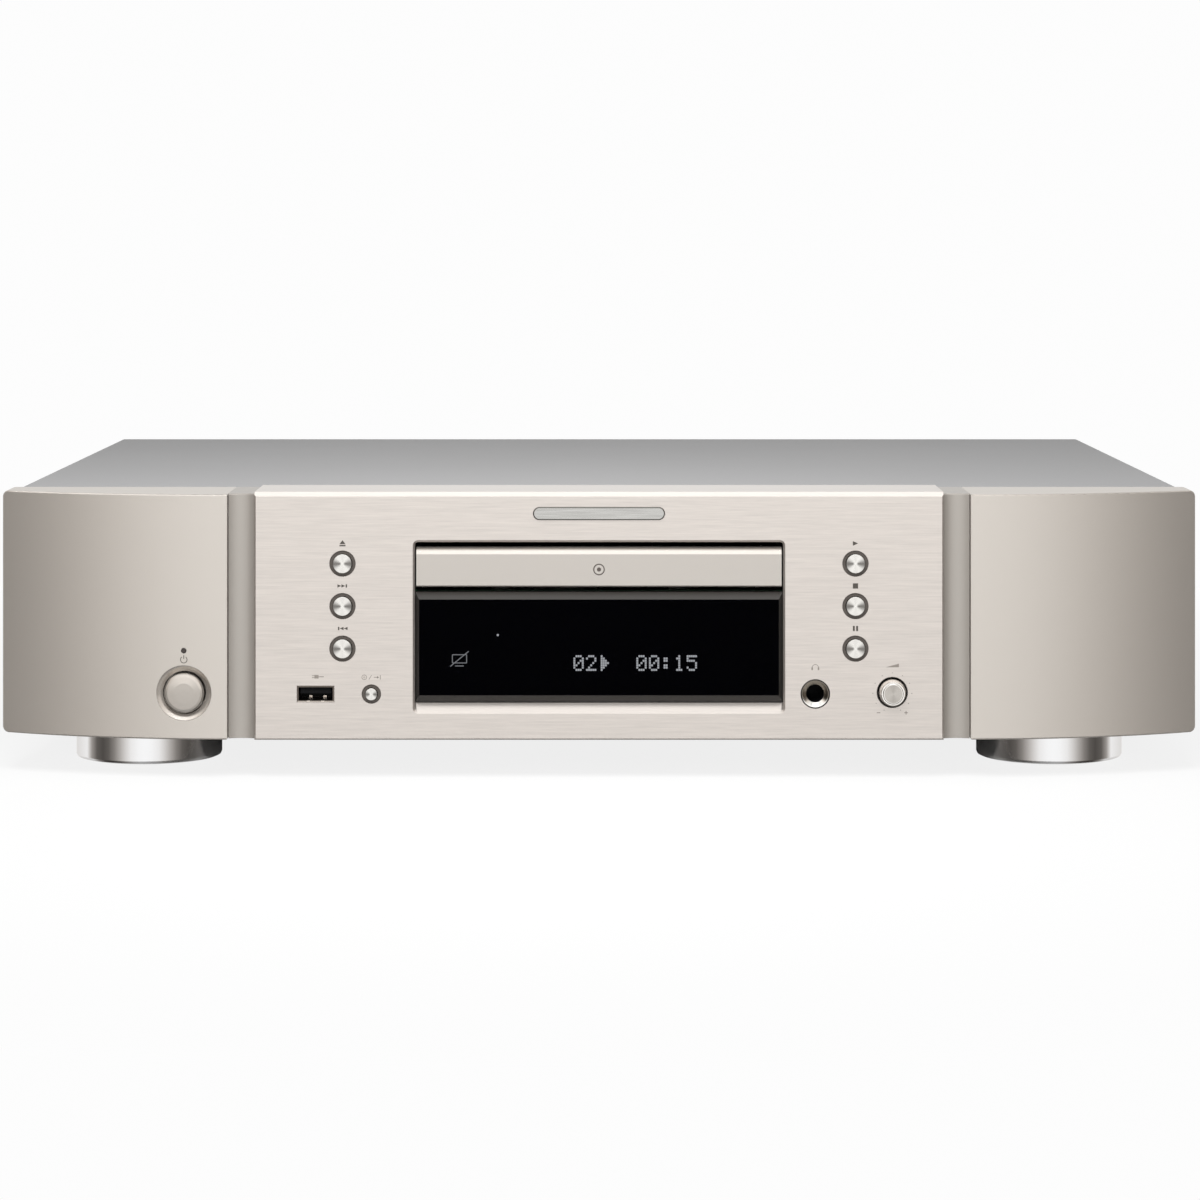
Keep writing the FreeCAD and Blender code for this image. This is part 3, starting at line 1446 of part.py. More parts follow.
def build_electronics():
    z, top = "main_board_z", "main_board_z + board_sheet"
    board = fuse(
        block(("86", "208"), ("-58", "150"), (z, top)),
        block(("22", "87"), ("76", "150"), (z, top)),
    )
    chips = [
        block((f"{x} - {half}", f"{x} + {half}"), (f"{y} - {half}", f"{y} + {half}"), (top, f"{top} + 1.4"))
        for x, y, half in ((125, 60, 9), (172, 40, 7), (150, 100, 6), (60, 110, 7), (115, 5, 10))
    ]
    cans = capacitors(MAIN_CAPACITORS, top)
    headers = [
        block((f"{x}", f"{x + 22}"), ("-54", "-48"), (top, f"{top} + 8")) for x in (110, 150)
    ]
    keep(group(board, *chips, *cans, *headers), "main_board")

    z, top = "power_board_z", "power_board_z + board_sheet"
    board = block(("-206", "-90"), ("-100", "36"), (z, top))
    cans = capacitors(POWER_CAPACITORS, top)
    fins = [
        block(("-120", "-96"), (f"{-70 + 6 * i}", f"{-68 + 6 * i}"), (f"{top} + 0.5", f"{top} + 34"))
        for i in range(8)
    ]
    sink = fuse(block(("-109.5", "-106.5"), ("-70", "-26"), (top, f"{top} + 34")), *fins)
    relay = block(("-190", "-172"), ("4", "26"), (top, f"{top} + 15"))
    keep(group(board, *cans, sink, relay), "power_board")

    spot = ("transformer_x", "transformer_y")
    base, crown = "floor_low + floor_sheet + 0.3", "floor_low + floor_sheet + 2.3"
    coil_top = f"{crown} + transformer_height"
    doc.recompute()
    coil = tube(spot, "transformer_radius", "11", crown, coil_top)
    coil = soften(coil, "6", lambda e: e.Curve.TypeId == "Part::GeomCircle" and e.Curve.Radius > 20)
    dish = rod(spot, "26", coil_top, f"{coil_top} + 2")
    pad_ring = rod(spot, "30", base, crown)
    nut = rod(spot, "6", f"{coil_top} + 2", f"{coil_top} + 6")
    bolt = fuse(rod(spot, "3", base, f"{coil_top} + 5"), nut)
    keep(fuse(coil, dish, pad_ring, bolt), "transformer")

    build_cables()


def build_cables():
    """Two flat cables from the main board's headers: to the loader, and to the front."""
    low = "main_board_z + board_sheet + 8.02"
    bend, thick = f"{low} + 5", "0.4"
    to_loader = ("110.5", "131.5")
    to_front = ("150.5", "171.5")
    risers = [block(x, ("-51.2", f"-51.2 + {thick}"), (low, bend)) for x in (to_loader, to_front)]
    level = (f"{bend} - {thick}", bend)
    across = fuse(
        risers[0],
        block(to_loader, ("-80", "-51"), level),
        block(("loader_half + 0.1", to_loader[1]), ("-80", "-66"), level),
    )
    forward = fuse(risers[1], block(to_front, ("frame_wall_y + frame_wall + 0.1", "-51"), level))
    keep(group(across, forward), "ribbon_cables")


def jack(x):
    """A phono jack: plated barrel with a collar on the rear wall and a block behind it."""
    spot = (x, "jack_z")
    collar = rod(spot, "jack_collar", "rear_wall_y + 0.1", "jack_collar_y", "y")
    barrel = rod(spot, "jack_radius", "rear_wall_y - 3", "jack_tip_y", "y")
    bore = rod(spot, "jack_radius - 0.8", "rear_wall_y + 2", "jack_tip_y + 1", "y")
    contact = tube(spot, "2.6", "1.6", "rear_wall_y + 1", "jack_tip_y - 0.6", "y")
    return fuse(cut(fuse(collar, barrel), bore), contact)


def jack_block(low_x, high_x):
    """The moulded housing that jacks share behind the rear wall, standing on the main board."""
    return block(
        (low_x, high_x),
        ("rear_wall_y - rear_sheet - 12", "rear_wall_y - rear_sheet - 0.1"),
        ("main_board_z + board_sheet + 0.02", "jack_z + 6"),
    )


def build_rear():
    line = [jack(x) for x in ("line_right_x", "line_left_x")]
    keep(fuse(jack_block("line_left_x - 8", "line_right_x + 8"), *line), "line_sockets")

    coax = jack("coax_x")
    window = block(
        span("optical_x", "5"), ("rear_wall_y - 3", "rear_wall_y + 1.4"), span("jack_z", "5")
    )
    light_port = block(
        span("optical_x", "3.4"), span("rear_wall_y", "2"), span("jack_z", "3.4")
    )
    digital = fuse(jack_block("optical_x - 8", "coax_x + 8"), coax, cut(window, light_port))
    remote = fuse(
        jack_block("remote_out_x - 8", "remote_in_x + 8"), jack("remote_in_x"), jack("remote_out_x")
    )
    keep(group(digital, remote), "digital_sockets")

    tab = block(
        ("remote_switch_x - 3.8", "remote_switch_x - 0.8"),
        ("rear_wall_y - rear_sheet - 2", "rear_wall_y + 1.6"),
        span("jack_z", "1.9"),
    )
    slide = block(
        ("remote_switch_x - 5", "remote_switch_x + 0.4"),
        ("rear_wall_y - rear_sheet - 3", "rear_wall_y - rear_sheet - 0.4"),
        span("jack_z", "3.5"),
    )
    keep(fuse(tab, slide), "remote_switch")

    back = "rear_wall_y"
    flange = block(span("inlet_x", "16"), (f"{back} + 0.05", f"{back} + 3"), span("inlet_z", "12.5"))
    flange = soften(flange, "2", lambda e: runs(e, V(0, 1, 0)))
    body = block(span("inlet_x", "13.5"), (f"{back} - 17", f"{back} + 1"), span("inlet_z", "10"))
    cavity = block(span("inlet_x", "12"), (f"{back} - 14", f"{back} + 4"), span("inlet_z", "8.4"))
    cavity = soften(cavity, "2.5", lambda e: runs(e, V(0, 1, 0)))
    blade_y = (f"{back} - 15", f"{back} - 1")
    blades = [block(span(f"inlet_x + {dx}", "1"), blade_y, span("inlet_z", "2.5")) for dx in (-5, 5)]
    keep(fuse(cut(fuse(flange, body), cavity), *blades), "ac_inlet")


# ---------------------------------------------------------------- feet and screws


def build_feet():
    names = ("front_left_foot", "front_right_foot", "rear_left_foot", "rear_right_foot")
    top = "floor_low - 0.02"
    for name, (x, y) in zip(names, foot_places()):
        foot = turned(
            name,
            [
                ("screw_radius + 0.5 + running", top),
                ("foot_radius - 0.4", top),
                ("foot_radius", f"{top} - 0.4"),
                ("foot_radius", "foot_low + foot_round"),
                ("foot_radius - foot_round * 0.3", "foot_low + foot_round * 0.3"),
                ("foot_radius - foot_round", "foot_low"),
                ("pad_radius + 0.1", "foot_low"),
                ("pad_radius + 0.1", "pad_thick + 0.02"),
                ("pad_hole - 1", "pad_thick + 0.02"),
                ("pad_hole - 1", "9"),
                ("screw_radius + 0.5 + running", "9"),
            ],
        )
        put(foot, x, y)
    pads = [tube(place, "pad_radius", "pad_hole", "0", "pad_thick") for place in foot_places()]
    keep(group(*pads), "foot_pads")


def screw(centre, axis, seat, way, tip, shank="screw_radius"):
    """A pan-head screw with a cross recess; way is 1 or -1, the side of its seat its head is on."""
    crown = f"({seat}) + {way} * screw_head_height"
    head_ends, shank_ends = (seat, crown), (tip, f"({seat}) + {way} * 0.01")
    if way < 0:
        head_ends, shank_ends = head_ends[::-1], shank_ends[::-1]
    head = rod(centre, "screw_head", *head_ends, axis)
    body = rod(centre, shank, *shank_ends, axis)
    recess = []
    for wide, narrow in ((1.9, 0.35), (0.35, 1.9)):
        spans = [(f"{c} - {w}", f"{c} + {w}") for c, w in zip(centre, (wide, narrow))]
        spans.insert("xyz".index(axis), span(crown, "1"))
        recess.append(block(*spans))
    return cut(fuse(head, body), *recess)


def build_screws():
    made = []
    for place in foot_places():
        made.append(screw(place, "z", "8.98", -1, "19.4", "screw_radius + 0.5"))
    for x in COVER_REAR_SCREWS:
        spot = (str(x), REAR_SCREW_Z)
        made.append(screw(spot, "y", "cover_rear_y + 0.02", 1, "152"))
    for y in COVER_SIDE_SCREWS:
        spot = (str(y), COVER_SIDE_SCREW_Z)
        made.append(screw(spot, "x", "cover_half + 0.02", 1, "209"))
        made.append(screw(spot, "x", "-cover_half - 0.02", -1, "-209"))
    for z, places in (("main_board_z", MAIN_STANDOFFS), ("power_board_z", POWER_STANDOFFS)):
        for x, y in places:
            seat = f"{z} + board_sheet + 0.02"
            made.append(rod((str(x), str(y)), "screw_head", seat, f"{seat} + screw_head_height"))
    keep(group(*made), "screws")


# ---------------------------------------------------------------- build and write

build_case()
build_centre_plate()
build_left_wing()
build_wing("right_wing", 1)
build_front_frame()
build_bezels()
build_controls()
build_front_sockets()
build_display()
build_front_board()
build_tray()
build_loader()
build_tray_drive()
build_cam()
build_drive_unit()
build_electronics()
build_rear()
build_feet()
build_screws()
doc.recompute()

for item in doc.Objects:
    if {"Invalid", "Error"} & set(item.State):
        raise RuntimeError(f"{item.Label} ({item.TypeId}) did not recompute: {item.State}")
for part in sub_parts:
    if part.Shape.isNull() or not part.Shape.isValid() or not part.Shape.Solids:
        raise RuntimeError(f"{part.Label} has no valid solid")

os.makedirs("parts", exist_ok=True)
for part in sub_parts:
    part.Shape.exportStep(os.path.join("parts", part.Label + ".step"))
print(len(sub_parts), "sub-parts written")
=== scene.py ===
import json
import math

import bmesh
import bpy
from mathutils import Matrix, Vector


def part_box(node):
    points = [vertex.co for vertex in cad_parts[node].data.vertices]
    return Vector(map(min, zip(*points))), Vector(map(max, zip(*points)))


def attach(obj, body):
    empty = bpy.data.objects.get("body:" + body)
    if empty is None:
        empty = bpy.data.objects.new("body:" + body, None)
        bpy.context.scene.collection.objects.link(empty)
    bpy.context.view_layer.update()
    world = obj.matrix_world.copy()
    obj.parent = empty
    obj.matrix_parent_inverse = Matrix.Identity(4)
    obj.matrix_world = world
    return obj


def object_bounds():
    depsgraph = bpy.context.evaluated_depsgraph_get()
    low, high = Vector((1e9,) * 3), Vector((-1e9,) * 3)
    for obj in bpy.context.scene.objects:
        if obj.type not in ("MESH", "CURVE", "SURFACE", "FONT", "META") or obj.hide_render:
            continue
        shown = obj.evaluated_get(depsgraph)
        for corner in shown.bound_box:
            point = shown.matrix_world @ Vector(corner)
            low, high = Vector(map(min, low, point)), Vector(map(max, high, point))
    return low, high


# The looks of the disc player: a material for every piece, the printed signs on its front, the
# digits in its display, and a plain studio. Metres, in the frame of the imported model.

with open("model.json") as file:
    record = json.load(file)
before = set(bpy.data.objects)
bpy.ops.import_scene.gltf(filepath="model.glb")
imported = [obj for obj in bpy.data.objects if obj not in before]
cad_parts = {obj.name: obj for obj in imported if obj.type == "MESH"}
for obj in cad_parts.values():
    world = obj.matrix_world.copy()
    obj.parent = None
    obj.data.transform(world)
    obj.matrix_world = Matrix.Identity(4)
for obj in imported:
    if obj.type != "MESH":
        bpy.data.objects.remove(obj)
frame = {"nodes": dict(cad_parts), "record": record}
cad_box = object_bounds()

MM = 0.001
nodes = frame["nodes"]
FORWARDS = (0.0, -1.0, 0.0)


def centre_of(node):
    lo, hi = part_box(node)
    return (lo + hi) / 2


def frame_mount(name):
    return next(m for m in frame["record"]["mounts"] if m["name"] == name)


# ---------------------------------------------------------------- node-tree helpers


def rgb(red, green, blue):
    """A screen colour, 0 to 255 each, as the linear colour that shaders take."""
    parts = [c / 255 for c in (red, green, blue)]
    linear = [c / 12.92 if c <= 0.04045 else ((c + 0.055) / 1.055) ** 2.4 for c in parts]
    return (*linear, 1)


class Shader:
    """A new material and short calls for its node tree."""

    def __init__(self, name, tree=None):
        if tree is None:
            self.material = bpy.data.materials.new(name)
            self.material.use_nodes = True
            tree = self.material.node_tree
        self.tree = tree
        self.surface = tree.nodes.get("Principled BSDF")

    def add(self, kind, inputs=None, **settings):
        node = self.tree.nodes.new(kind)
        for key, setting in settings.items():
            setattr(node, key, setting)
        self.feed(node, inputs or {})
        return node

    def feed(self, node, inputs):
        """Gives a node's inputs their values; a socket among them is linked."""
        for key, source in inputs.items():
            if isinstance(source, bpy.types.NodeSocket):
                self.tree.links.new(source, node.inputs[key])
            else:
                node.inputs[key].default_value = source

    def math(self, operation, first, second=0.0):
        inputs = {0: first, 1: second}
        return self.add("ShaderNodeMath", inputs, operation=operation).outputs[0]

    def blend(self, share, first, second):
        """first where share is 0, second where it is 1, for colours."""
        node = self.add("ShaderNodeMix", {0: share, 6: first, 7: second}, data_type="RGBA")
        return node.outputs[2]

    def mix_shaders(self, share, first, second):
        inputs = {0: share, 1: first.outputs[0], 2: second.outputs[0]}
        return self.add("ShaderNodeMixShader", inputs)

    def steer(self, share, low, high):
        """A number that goes from low to high as share goes from 0 to 1."""
        inputs = {0: share, 3: low, 4: high}
        return self.add("ShaderNodeMapRange", inputs).outputs[0]

    def window(self, source, start, end, low=0.0, high=1.0):
        """low where source is under start, high where it is over end."""
        inputs = {0: source, 1: start, 2: end, 3: low, 4: high}
        return self.add("ShaderNodeMapRange", inputs, clamp=True).outputs[0]

    def place(self, stretch=(1, 1, 1)):
        """The frame's own coordinates in metres, stretched."""
        where = self.add("ShaderNodeTexCoord").outputs["Object"]
        return self.add("ShaderNodeMapping", {"Vector": where, "Scale": stretch}).outputs[0]

    def axes(self):
        """The frame's own x, y and z in metres."""
        where = self.add("ShaderNodeTexCoord").outputs["Object"]
        return self.add("ShaderNodeSeparateXYZ", {0: where}).outputs

    def noise(self, scale, detail=3.0, stretch=(1, 1, 1), roughness=0.55):
        inputs = {
            "Vector": self.place(stretch),
            "Scale": scale,
            "Detail": detail,
            "Roughness": roughness,
        }
        return self.add("ShaderNodeTexNoise", inputs).outputs[0]

    def bump(self, height, strength, depth, edge=0.0, flat=None):
        """A relief of the given depth; edge also rounds sharp edges to that radius, and flat is
        the share by which the surface is lit as if it faced straight forwards."""
        inputs = {"Height": height, "Strength": strength, "Distance": depth}
        if edge:
            soft = self.add("ShaderNodeBevel", {"Radius": edge}, samples=4)
            inputs["Normal"] = soft.outputs[0]
        if flat:
            sources = {0: flat, 4: inputs["Normal"], 5: FORWARDS}
            inputs["Normal"] = self.add("ShaderNodeMix", sources, data_type="VECTOR").outputs[1]
        return self.add("ShaderNodeBump", inputs).outputs[0]

    def length(self, across, up):
        """The distance that two legs at a right angle make."""
        squares = [self.math("POWER", leg, 2.0) for leg in (across, up)]
        return self.math("SQRT", self.math("ADD", *squares))

    def radius(self, centre):
        """How far a point is from a line along Y through the centre."""
        x, _, z = self.axes()[:3]
        across, up = self.math("SUBTRACT", x, centre.x), self.math("SUBTRACT", z, centre.z)
        return self.length(across, up)

    def facing(self, start, end):
        """0 where the surface leans away from the front, 1 where it faces forwards."""
        normal = self.add("ShaderNodeNewGeometry").outputs["True Normal"]
        forward = self.add("ShaderNodeSeparateXYZ", {0: normal}).outputs[1]
        return self.window(self.math("MULTIPLY", forward, -1.0), start, end)

    def set(self, **inputs):
        """Sets the surface's inputs; base_color means its input Base Color."""
        names = {key.replace("_", " ").lower(): value for key, value in inputs.items()}
        for socket in self.surface.inputs:
            if socket.name.lower() in names:
                self.feed(self.surface, {socket.name: names[socket.name.lower()]})
        return self.material


def shade(factor, colour):
    """The same colour, lighter or darker."""
    return (*[min(1.0, c * factor) for c in colour[:3]], 1)


# ---------------------------------------------------------------- materials


def satin_metal_paint(name, colour, metallic, roughness, crown=None, dish=None):
    """Sprayed metallic paint: tiny flakes, a faint cloudiness, and soft edges. The tip of a
    crown, a node with a domed front, is lit as flat. The panel is smoother in its dish, the
    round recess about a node's centre."""
    s = Shader(name)
    sparkle = 0.05
    tip_radius, tip_edge = 0.8 * MM, 1.6 * MM
    dish_radius, dish_edge = 9.9 * MM, 10.2 * MM
    dish_polish = 0.22
    tip = None
    polish = 0.0
    if crown:
        tip = s.window(s.radius(centre_of(crown)), tip_radius, tip_edge, 1.0, 0.0)
    if dish:
        polish = s.window(s.radius(centre_of(dish)), dish_radius, dish_edge, dish_polish, 0.0)
    flakes = s.noise(9000, 2, roughness=0.7)
    clouds = s.noise(9, 3)
    fine = s.blend(flakes, shade(1 - sparkle, colour), shade(1 + sparkle, colour))
    drift = s.blend(s.steer(clouds, 0.0, 0.5), fine, shade(0.985, colour))
    rough = s.math("SUBTRACT", s.steer(flakes, roughness - 0.05, roughness + 0.05), polish)
    return s.set(
        base_color=drift,
        metallic=metallic,
        roughness=rough,
        normal=s.bump(flakes, 0.10, 0.03 * MM, 0.25 * MM, tip),
        coat_weight=0.12,
        coat_roughness=0.3,
    )


def powder_paint(name, colour, roughness):
    """Baked paint on folded steel: a fine pebbled skin with faint unevenness."""
    s = Shader(name)
    pebbles = s.noise(3800, 3, roughness=0.6)
    clouds = s.noise(7, 4)
    tone = s.blend(pebbles, shade(0.94, colour), shade(1.06, colour))
    base = s.blend(s.steer(clouds, 0.0, 0.4), tone, shade(0.97, colour))
    return s.set(
        base_color=base,
        metallic=0.1,
        specular_ior_level=0.25,
        roughness=s.steer(clouds, roughness - 0.03, roughness + 0.04),
        normal=s.bump(pebbles, 0.16, 0.06 * MM, 0.3 * MM),
    )


def brushed_aluminium(name, colour, roughness=0.34):
    """Aluminium brushed from side to side, under a clear anodised skin."""
    s = Shader(name)
    fine = s.noise(1, 4, (60, 2700, 2700), 0.65)
    broad = s.noise(1, 3, (75, 1400, 1400), 0.6)
    scratch = s.noise(1, 2, (14, 1400, 1400), 0.5)
    streaks = s.math("ADD", s.math("MULTIPLY", fine, 0.4), s.math("MULTIPLY", broad, 0.6))
    tone = s.blend(s.window(streaks, 0.3, 0.7), shade(0.89, colour), shade(1.10, colour))
    bright = s.window(scratch, 0.68, 0.76, 0.0, 0.35)
    tangent = s.add("ShaderNodeCombineXYZ", {0: 1.0, 1: 0.0, 2: 0.0})
    return s.set(
        base_color=s.blend(bright, tone, shade(1.12, colour)),
        metallic=0.92,
        roughness=s.window(streaks, 0.3, 0.7, roughness - 0.04, roughness + 0.06),
        anisotropic=0.55,
        tangent=tangent.outputs[0],
        normal=s.bump(fine, 0.14, 0.02 * MM, 0.2 * MM),
    )


def spun_metal(name, node, colour, roughness, painted_fan_depth, skirt=None):
    """Metal turned on a lathe about a line along Y through the node. Its rings are so fine that
    they only stretch highlights; the dark fans this makes at left and right are deepened by a
    painted reflection in the colour, as deep as painted_fan_depth.
    Beyond the skirt, a radius in metres, the metal is painted brighter, a painted highlight."""
    s = Shader(name)
    ring_pitch = 0.35 * MM
    painted_fan_power = 5.0
    centre = centre_of(node)
    x, _, z = s.axes()[:3]
    across = s.math("SUBTRACT", x, centre.x)
    down = s.math("SUBTRACT", centre.z, z)
    along = s.add("ShaderNodeCombineXYZ", {0: down, 1: 0.0, 2: across})
    around = s.add("ShaderNodeVectorMath", {0: along.outputs[0]}, operation="NORMALIZE")
    radius = s.length(across, down)
    level = s.math("DIVIDE", s.math("ABSOLUTE", across), s.math("MAXIMUM", radius, 0.01 * MM))
    # painted reflection: dark fans at left and right, painted into the base colour
    painted_dark_fan = s.math("POWER", level, painted_fan_power)
    painted_dark_fan = s.math("MULTIPLY", painted_dark_fan, s.window(radius, 0.2 * MM, 0.9 * MM))
    rings = s.math("SINE", s.math("MULTIPLY", radius, 2 * math.pi / ring_pitch))
    grain = s.noise(2500, 2)
    tone = s.blend(grain, shade(0.95, colour), shade(1.04, colour))
    tone = s.blend(s.steer(rings, 0.03, 0.0), tone, BLACK)
    if skirt:
        # painted highlight: the knob's side beyond the skirt is painted near white
        rim = s.window(radius, skirt, skirt + 0.1 * MM, 0.0, 0.75)
        tone = s.blend(rim, tone, rgb(250, 247, 243))
    return s.set(
        base_color=s.blend(s.math("MULTIPLY", painted_dark_fan, painted_fan_depth), tone, rgb(84, 80, 76)),
        metallic=1.0,
        roughness=s.steer(grain, roughness - 0.03, roughness + 0.03),
        anisotropic=0.8,
        tangent=around.outputs[0],
        normal=s.bump(grain, 0.03, 0.02 * MM, 0.12 * MM, s.facing(0.86, 0.94)),
    )


def polished_chrome(name):
    """Chrome plate with a faint haze and the marks of a cloth."""
    s = Shader(name)
    haze = s.noise(60, 3)
    wipe = s.noise(1, 2, (900, 900, 40))
    return s.set(
        base_color=rgb(246, 246, 247),
        metallic=1.0,
        roughness=s.steer(haze, 0.05, 0.09),
        normal=s.bump(wipe, 0.015, 0.02 * MM, 0.3 * MM),
    )


def moulded_plastic(name, colour, roughness=0.55, grain=2600, relief=0.12):
    """Injection-moulded plastic with a fine spark-eroded grain."""
    s = Shader(name)
    pores = s.noise(grain, 3, roughness=0.6)
    clouds = s.noise(20, 2)
    return s.set(
        base_color=s.blend(clouds, shade(0.93, colour), shade(1.07, colour)),
        roughness=s.steer(pores, roughness - 0.06, roughness + 0.06),
        normal=s.bump(pores, relief, 0.05 * MM, 0.15 * MM),
        specular_ior_level=0.4,
    )


def soft_rubber(name, colour):
    """Matt rubber with a little dust on it."""
    s = Shader(name)
    dust = s.noise(400, 4)
    return s.set(
        base_color=s.blend(dust, shade(0.8, colour), shade(1.3, colour)),
        roughness=s.steer(dust, 0.7, 0.9),
        normal=s.bump(dust, 0.2, 0.08 * MM, 0.2 * MM),
        specular_ior_level=0.25,
    )


def plated_steel(name, colour, roughness):
    """Zinc-plated or drawn steel with a faint rolling direction and light handling marks."""
    s = Shader(name)
    rolling = s.noise(1, 3, (60, 900, 900))
    marks = s.noise(35, 5, roughness=0.7)
    return s.set(
        base_color=s.blend(rolling, shade(0.92, colour), shade(1.06, colour)),
        metallic=1.0,
        roughness=s.steer(marks, roughness - 0.06, roughness + 0.12),
        normal=s.bump(rolling, 0.05, 0.02 * MM, 0.15 * MM),
    )


def dark_window(name):
    """Smoked acrylic: nearly black, polished, just clear enough for lit dots behind its face.
    Its bevelled rim is painted a little paler, as painted light."""
    s = Shader(name)
    wipe = s.noise(14, 4)
    # painted light: the bevelled rim, turned away from the front, is painted paler than the face
    face = s.facing(0.8, 0.98)
    return s.set(
        base_color=s.blend(face, rgb(42, 40, 38), rgb(2, 2, 3)),
        roughness=s.math("SUBTRACT", s.steer(wipe, 0.24, 0.27), s.math("MULTIPLY", face, 0.2)),
        alpha=s.steer(face, 1.0, 0.8),
        specular_ior_level=s.steer(face, 0.45, 0.0),
        normal=s.bump(wipe, 0.01, 0.02 * MM),
    )


def glowing(name, colour, strength):
    """Lit display dots, a little uneven from dot to dot."""
    s = Shader(name)
    flicker = s.noise(700, 1)
    return s.set(
        base_color=rgb(10, 10, 10),
        emission_color=colour,
        emission_strength=s.steer(flicker, strength * 0.85, strength * 1.15),
    )


def printed_ink(name, colour):
    """Silk-screened ink, very slightly mottled."""
    s = Shader(name)
    mottle = s.noise(5000, 2)
    return s.set(
        base_color=s.blend(mottle, shade(0.85, colour), shade(1.15, colour)),
        roughness=s.steer(mottle, 0.5, 0.65),
        specular_ior_level=0.3,
    )


def circuit_board(name, board_top, colour):
    """Solder mask with faint tracks up to the height board_top, dark component bodies above it."""
    s = Shader(name)
    height = s.axes()[2]
    layout = {"Vector": s.place(), "Scale": 120, "Mortar Size": 0.03}
    tracks = s.add("ShaderNodeTexBrick", layout)
    mask = s.blend(tracks.outputs[1], colour, shade(1.8, colour))
    parts = s.blend(s.noise(90, 1), rgb(22, 22, 24), rgb(48, 50, 58))
    above = s.window(height, board_top, board_top + 0.05 * MM)
    return s.set(
        base_color=s.blend(above, mask, parts),
        roughness=s.steer(above, 0.35, 0.5),
        normal=s.bump(tracks.outputs[1], 0.2, 0.05 * MM),
    )


def front_board_finish(name, board_front, colour):
    """The upright board: solder mask at the back, pale switch bodies in front of it."""
    s = Shader(name)
    depth = s.axes()[1]
    behind = s.window(depth, board_front - 0.05 * MM, board_front)
    grain = s.noise(700, 3)
    body = s.blend(grain, rgb(70, 70, 72), rgb(96, 96, 98))
    return s.set(
        base_color=s.blend(behind, body, colour),
        roughness=s.steer(grain, 0.4, 0.55),
        normal=s.bump(grain, 0.1, 0.05 * MM),
    )


def headphone_socket(name):
    """A turned metal ring round a black bore, with a painted highlight along its lower side."""
    s = Shader(name)
    centre = centre_of("phones_socket")
    bore = frame_mount("phones_bore")["dims"]["r_mm"] * MM
    ring_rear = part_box("phones_socket")[0].y + 1.6 * MM
    radius = s.radius(centre)
    outside = s.window(radius, bore + 0.05 * MM, bore + 0.1 * MM)
    near = s.window(s.axes()[1], ring_rear, ring_rear + 0.1 * MM, 1.0, 0.0)
    metal = s.math("MULTIPLY", outside, near)
    drop = s.math("SUBTRACT", centre.z, s.axes()[2])
    # painted highlight: a bright crescent on the ring's lower side
    painted_highlight_crescent = s.window(s.math("DIVIDE", drop, radius), 0.3, 0.7)
    grain = s.noise(2200, 2)
    ring = s.blend(painted_highlight_crescent, rgb(126, 119, 110), rgb(252, 250, 246))
    return s.set(
        base_color=s.blend(metal, rgb(14, 14, 15), ring),
        metallic=metal,
        specular_ior_level=s.steer(metal, 0.06, 0.5),
        roughness=s.steer(grain, 0.14, 0.22),
        normal=s.bump(grain, 0.05, 0.02 * MM, 0.1 * MM),
    )


def usb_finish(name):
    """A folded steel shell with a black tongue inside. Its two springs and its lower lip are
    painted lighter than the shell, a painted highlight.
    """
    s = Shader(name)
    lo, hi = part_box("usb_socket")
    centre = centre_of("usb_socket")
    x, _, z = s.axes()[:3]
    wall = 0.42 * MM
    soft = 0.02 * MM
    inner_x, inner_z = (hi.x - lo.x) / 2 - wall, (hi.z - lo.z) / 2 - wall
    spring_place, spring_reach = 2.6 * MM, 0.55 * MM
    spring_top = lo.z + 2.2 * wall
    aside = s.math("ABSOLUTE", s.math("SUBTRACT", x, centre.x))
    off_level = s.math("ABSOLUTE", s.math("SUBTRACT", z, centre.z))
    side = s.window(aside, inner_x, inner_x + soft)
    flat = s.window(off_level, inner_z, inner_z + soft)
    shell = s.math("MAXIMUM", side, flat)
    off_spring = s.math("ABSOLUTE", s.math("SUBTRACT", aside, spring_place))
    spring = s.window(off_spring, spring_reach, spring_reach + 0.05 * MM, 1.0, 0.0)
    low = s.window(z, spring_top, spring_top + soft, 1.0, 0.0)
    lip = s.window(z, lo.z, lo.z + wall, 1.0, 0.0)
    bright = s.math("MAXIMUM", s.math("MULTIPLY", spring, low), lip)
    metal = s.math("MAXIMUM", shell, bright)
    grain = s.noise(1500, 2)
    # painted highlight: the springs and lower lip are painted lighter than the rest of the shell
    steel = s.blend(bright, rgb(112, 104, 97), rgb(226, 216, 206))
    return s.set(
        base_color=s.blend(metal, rgb(16, 16, 17), steel),
        metallic=metal,
        specular_ior_level=s.steer(metal, 0.06, 0.5),
        roughness=s.steer(grain, 0.25, 0.4),
        normal=s.bump(grain, 0.06, 0.02 * MM),
    )


def sleeve_finish(name):
    """Dark satin sleeves in the panel's holes; the one round the knob is painted darker,
    as painted shade.
    """
    s = Shader(name)
    # painted shade: the sleeve round the knob is painted darker
    knob_sleeve_painted_shade = s.window(s.radius(centre_of("level_knob")), 7 * MM, 8 * MM, 1.0, 0.0)
    grain = s.noise(1800, 3)
    tone = s.blend(grain, rgb(72, 67, 63), rgb(88, 82, 77))
    return s.set(
        base_color=s.blend(knob_sleeve_painted_shade, tone, rgb(34, 32, 30)),
        metallic=0.5,
        roughness=s.steer(grain, 0.34, 0.44),
        normal=s.bump(grain, 0.05, 0.02 * MM, 0.1 * MM),
    )


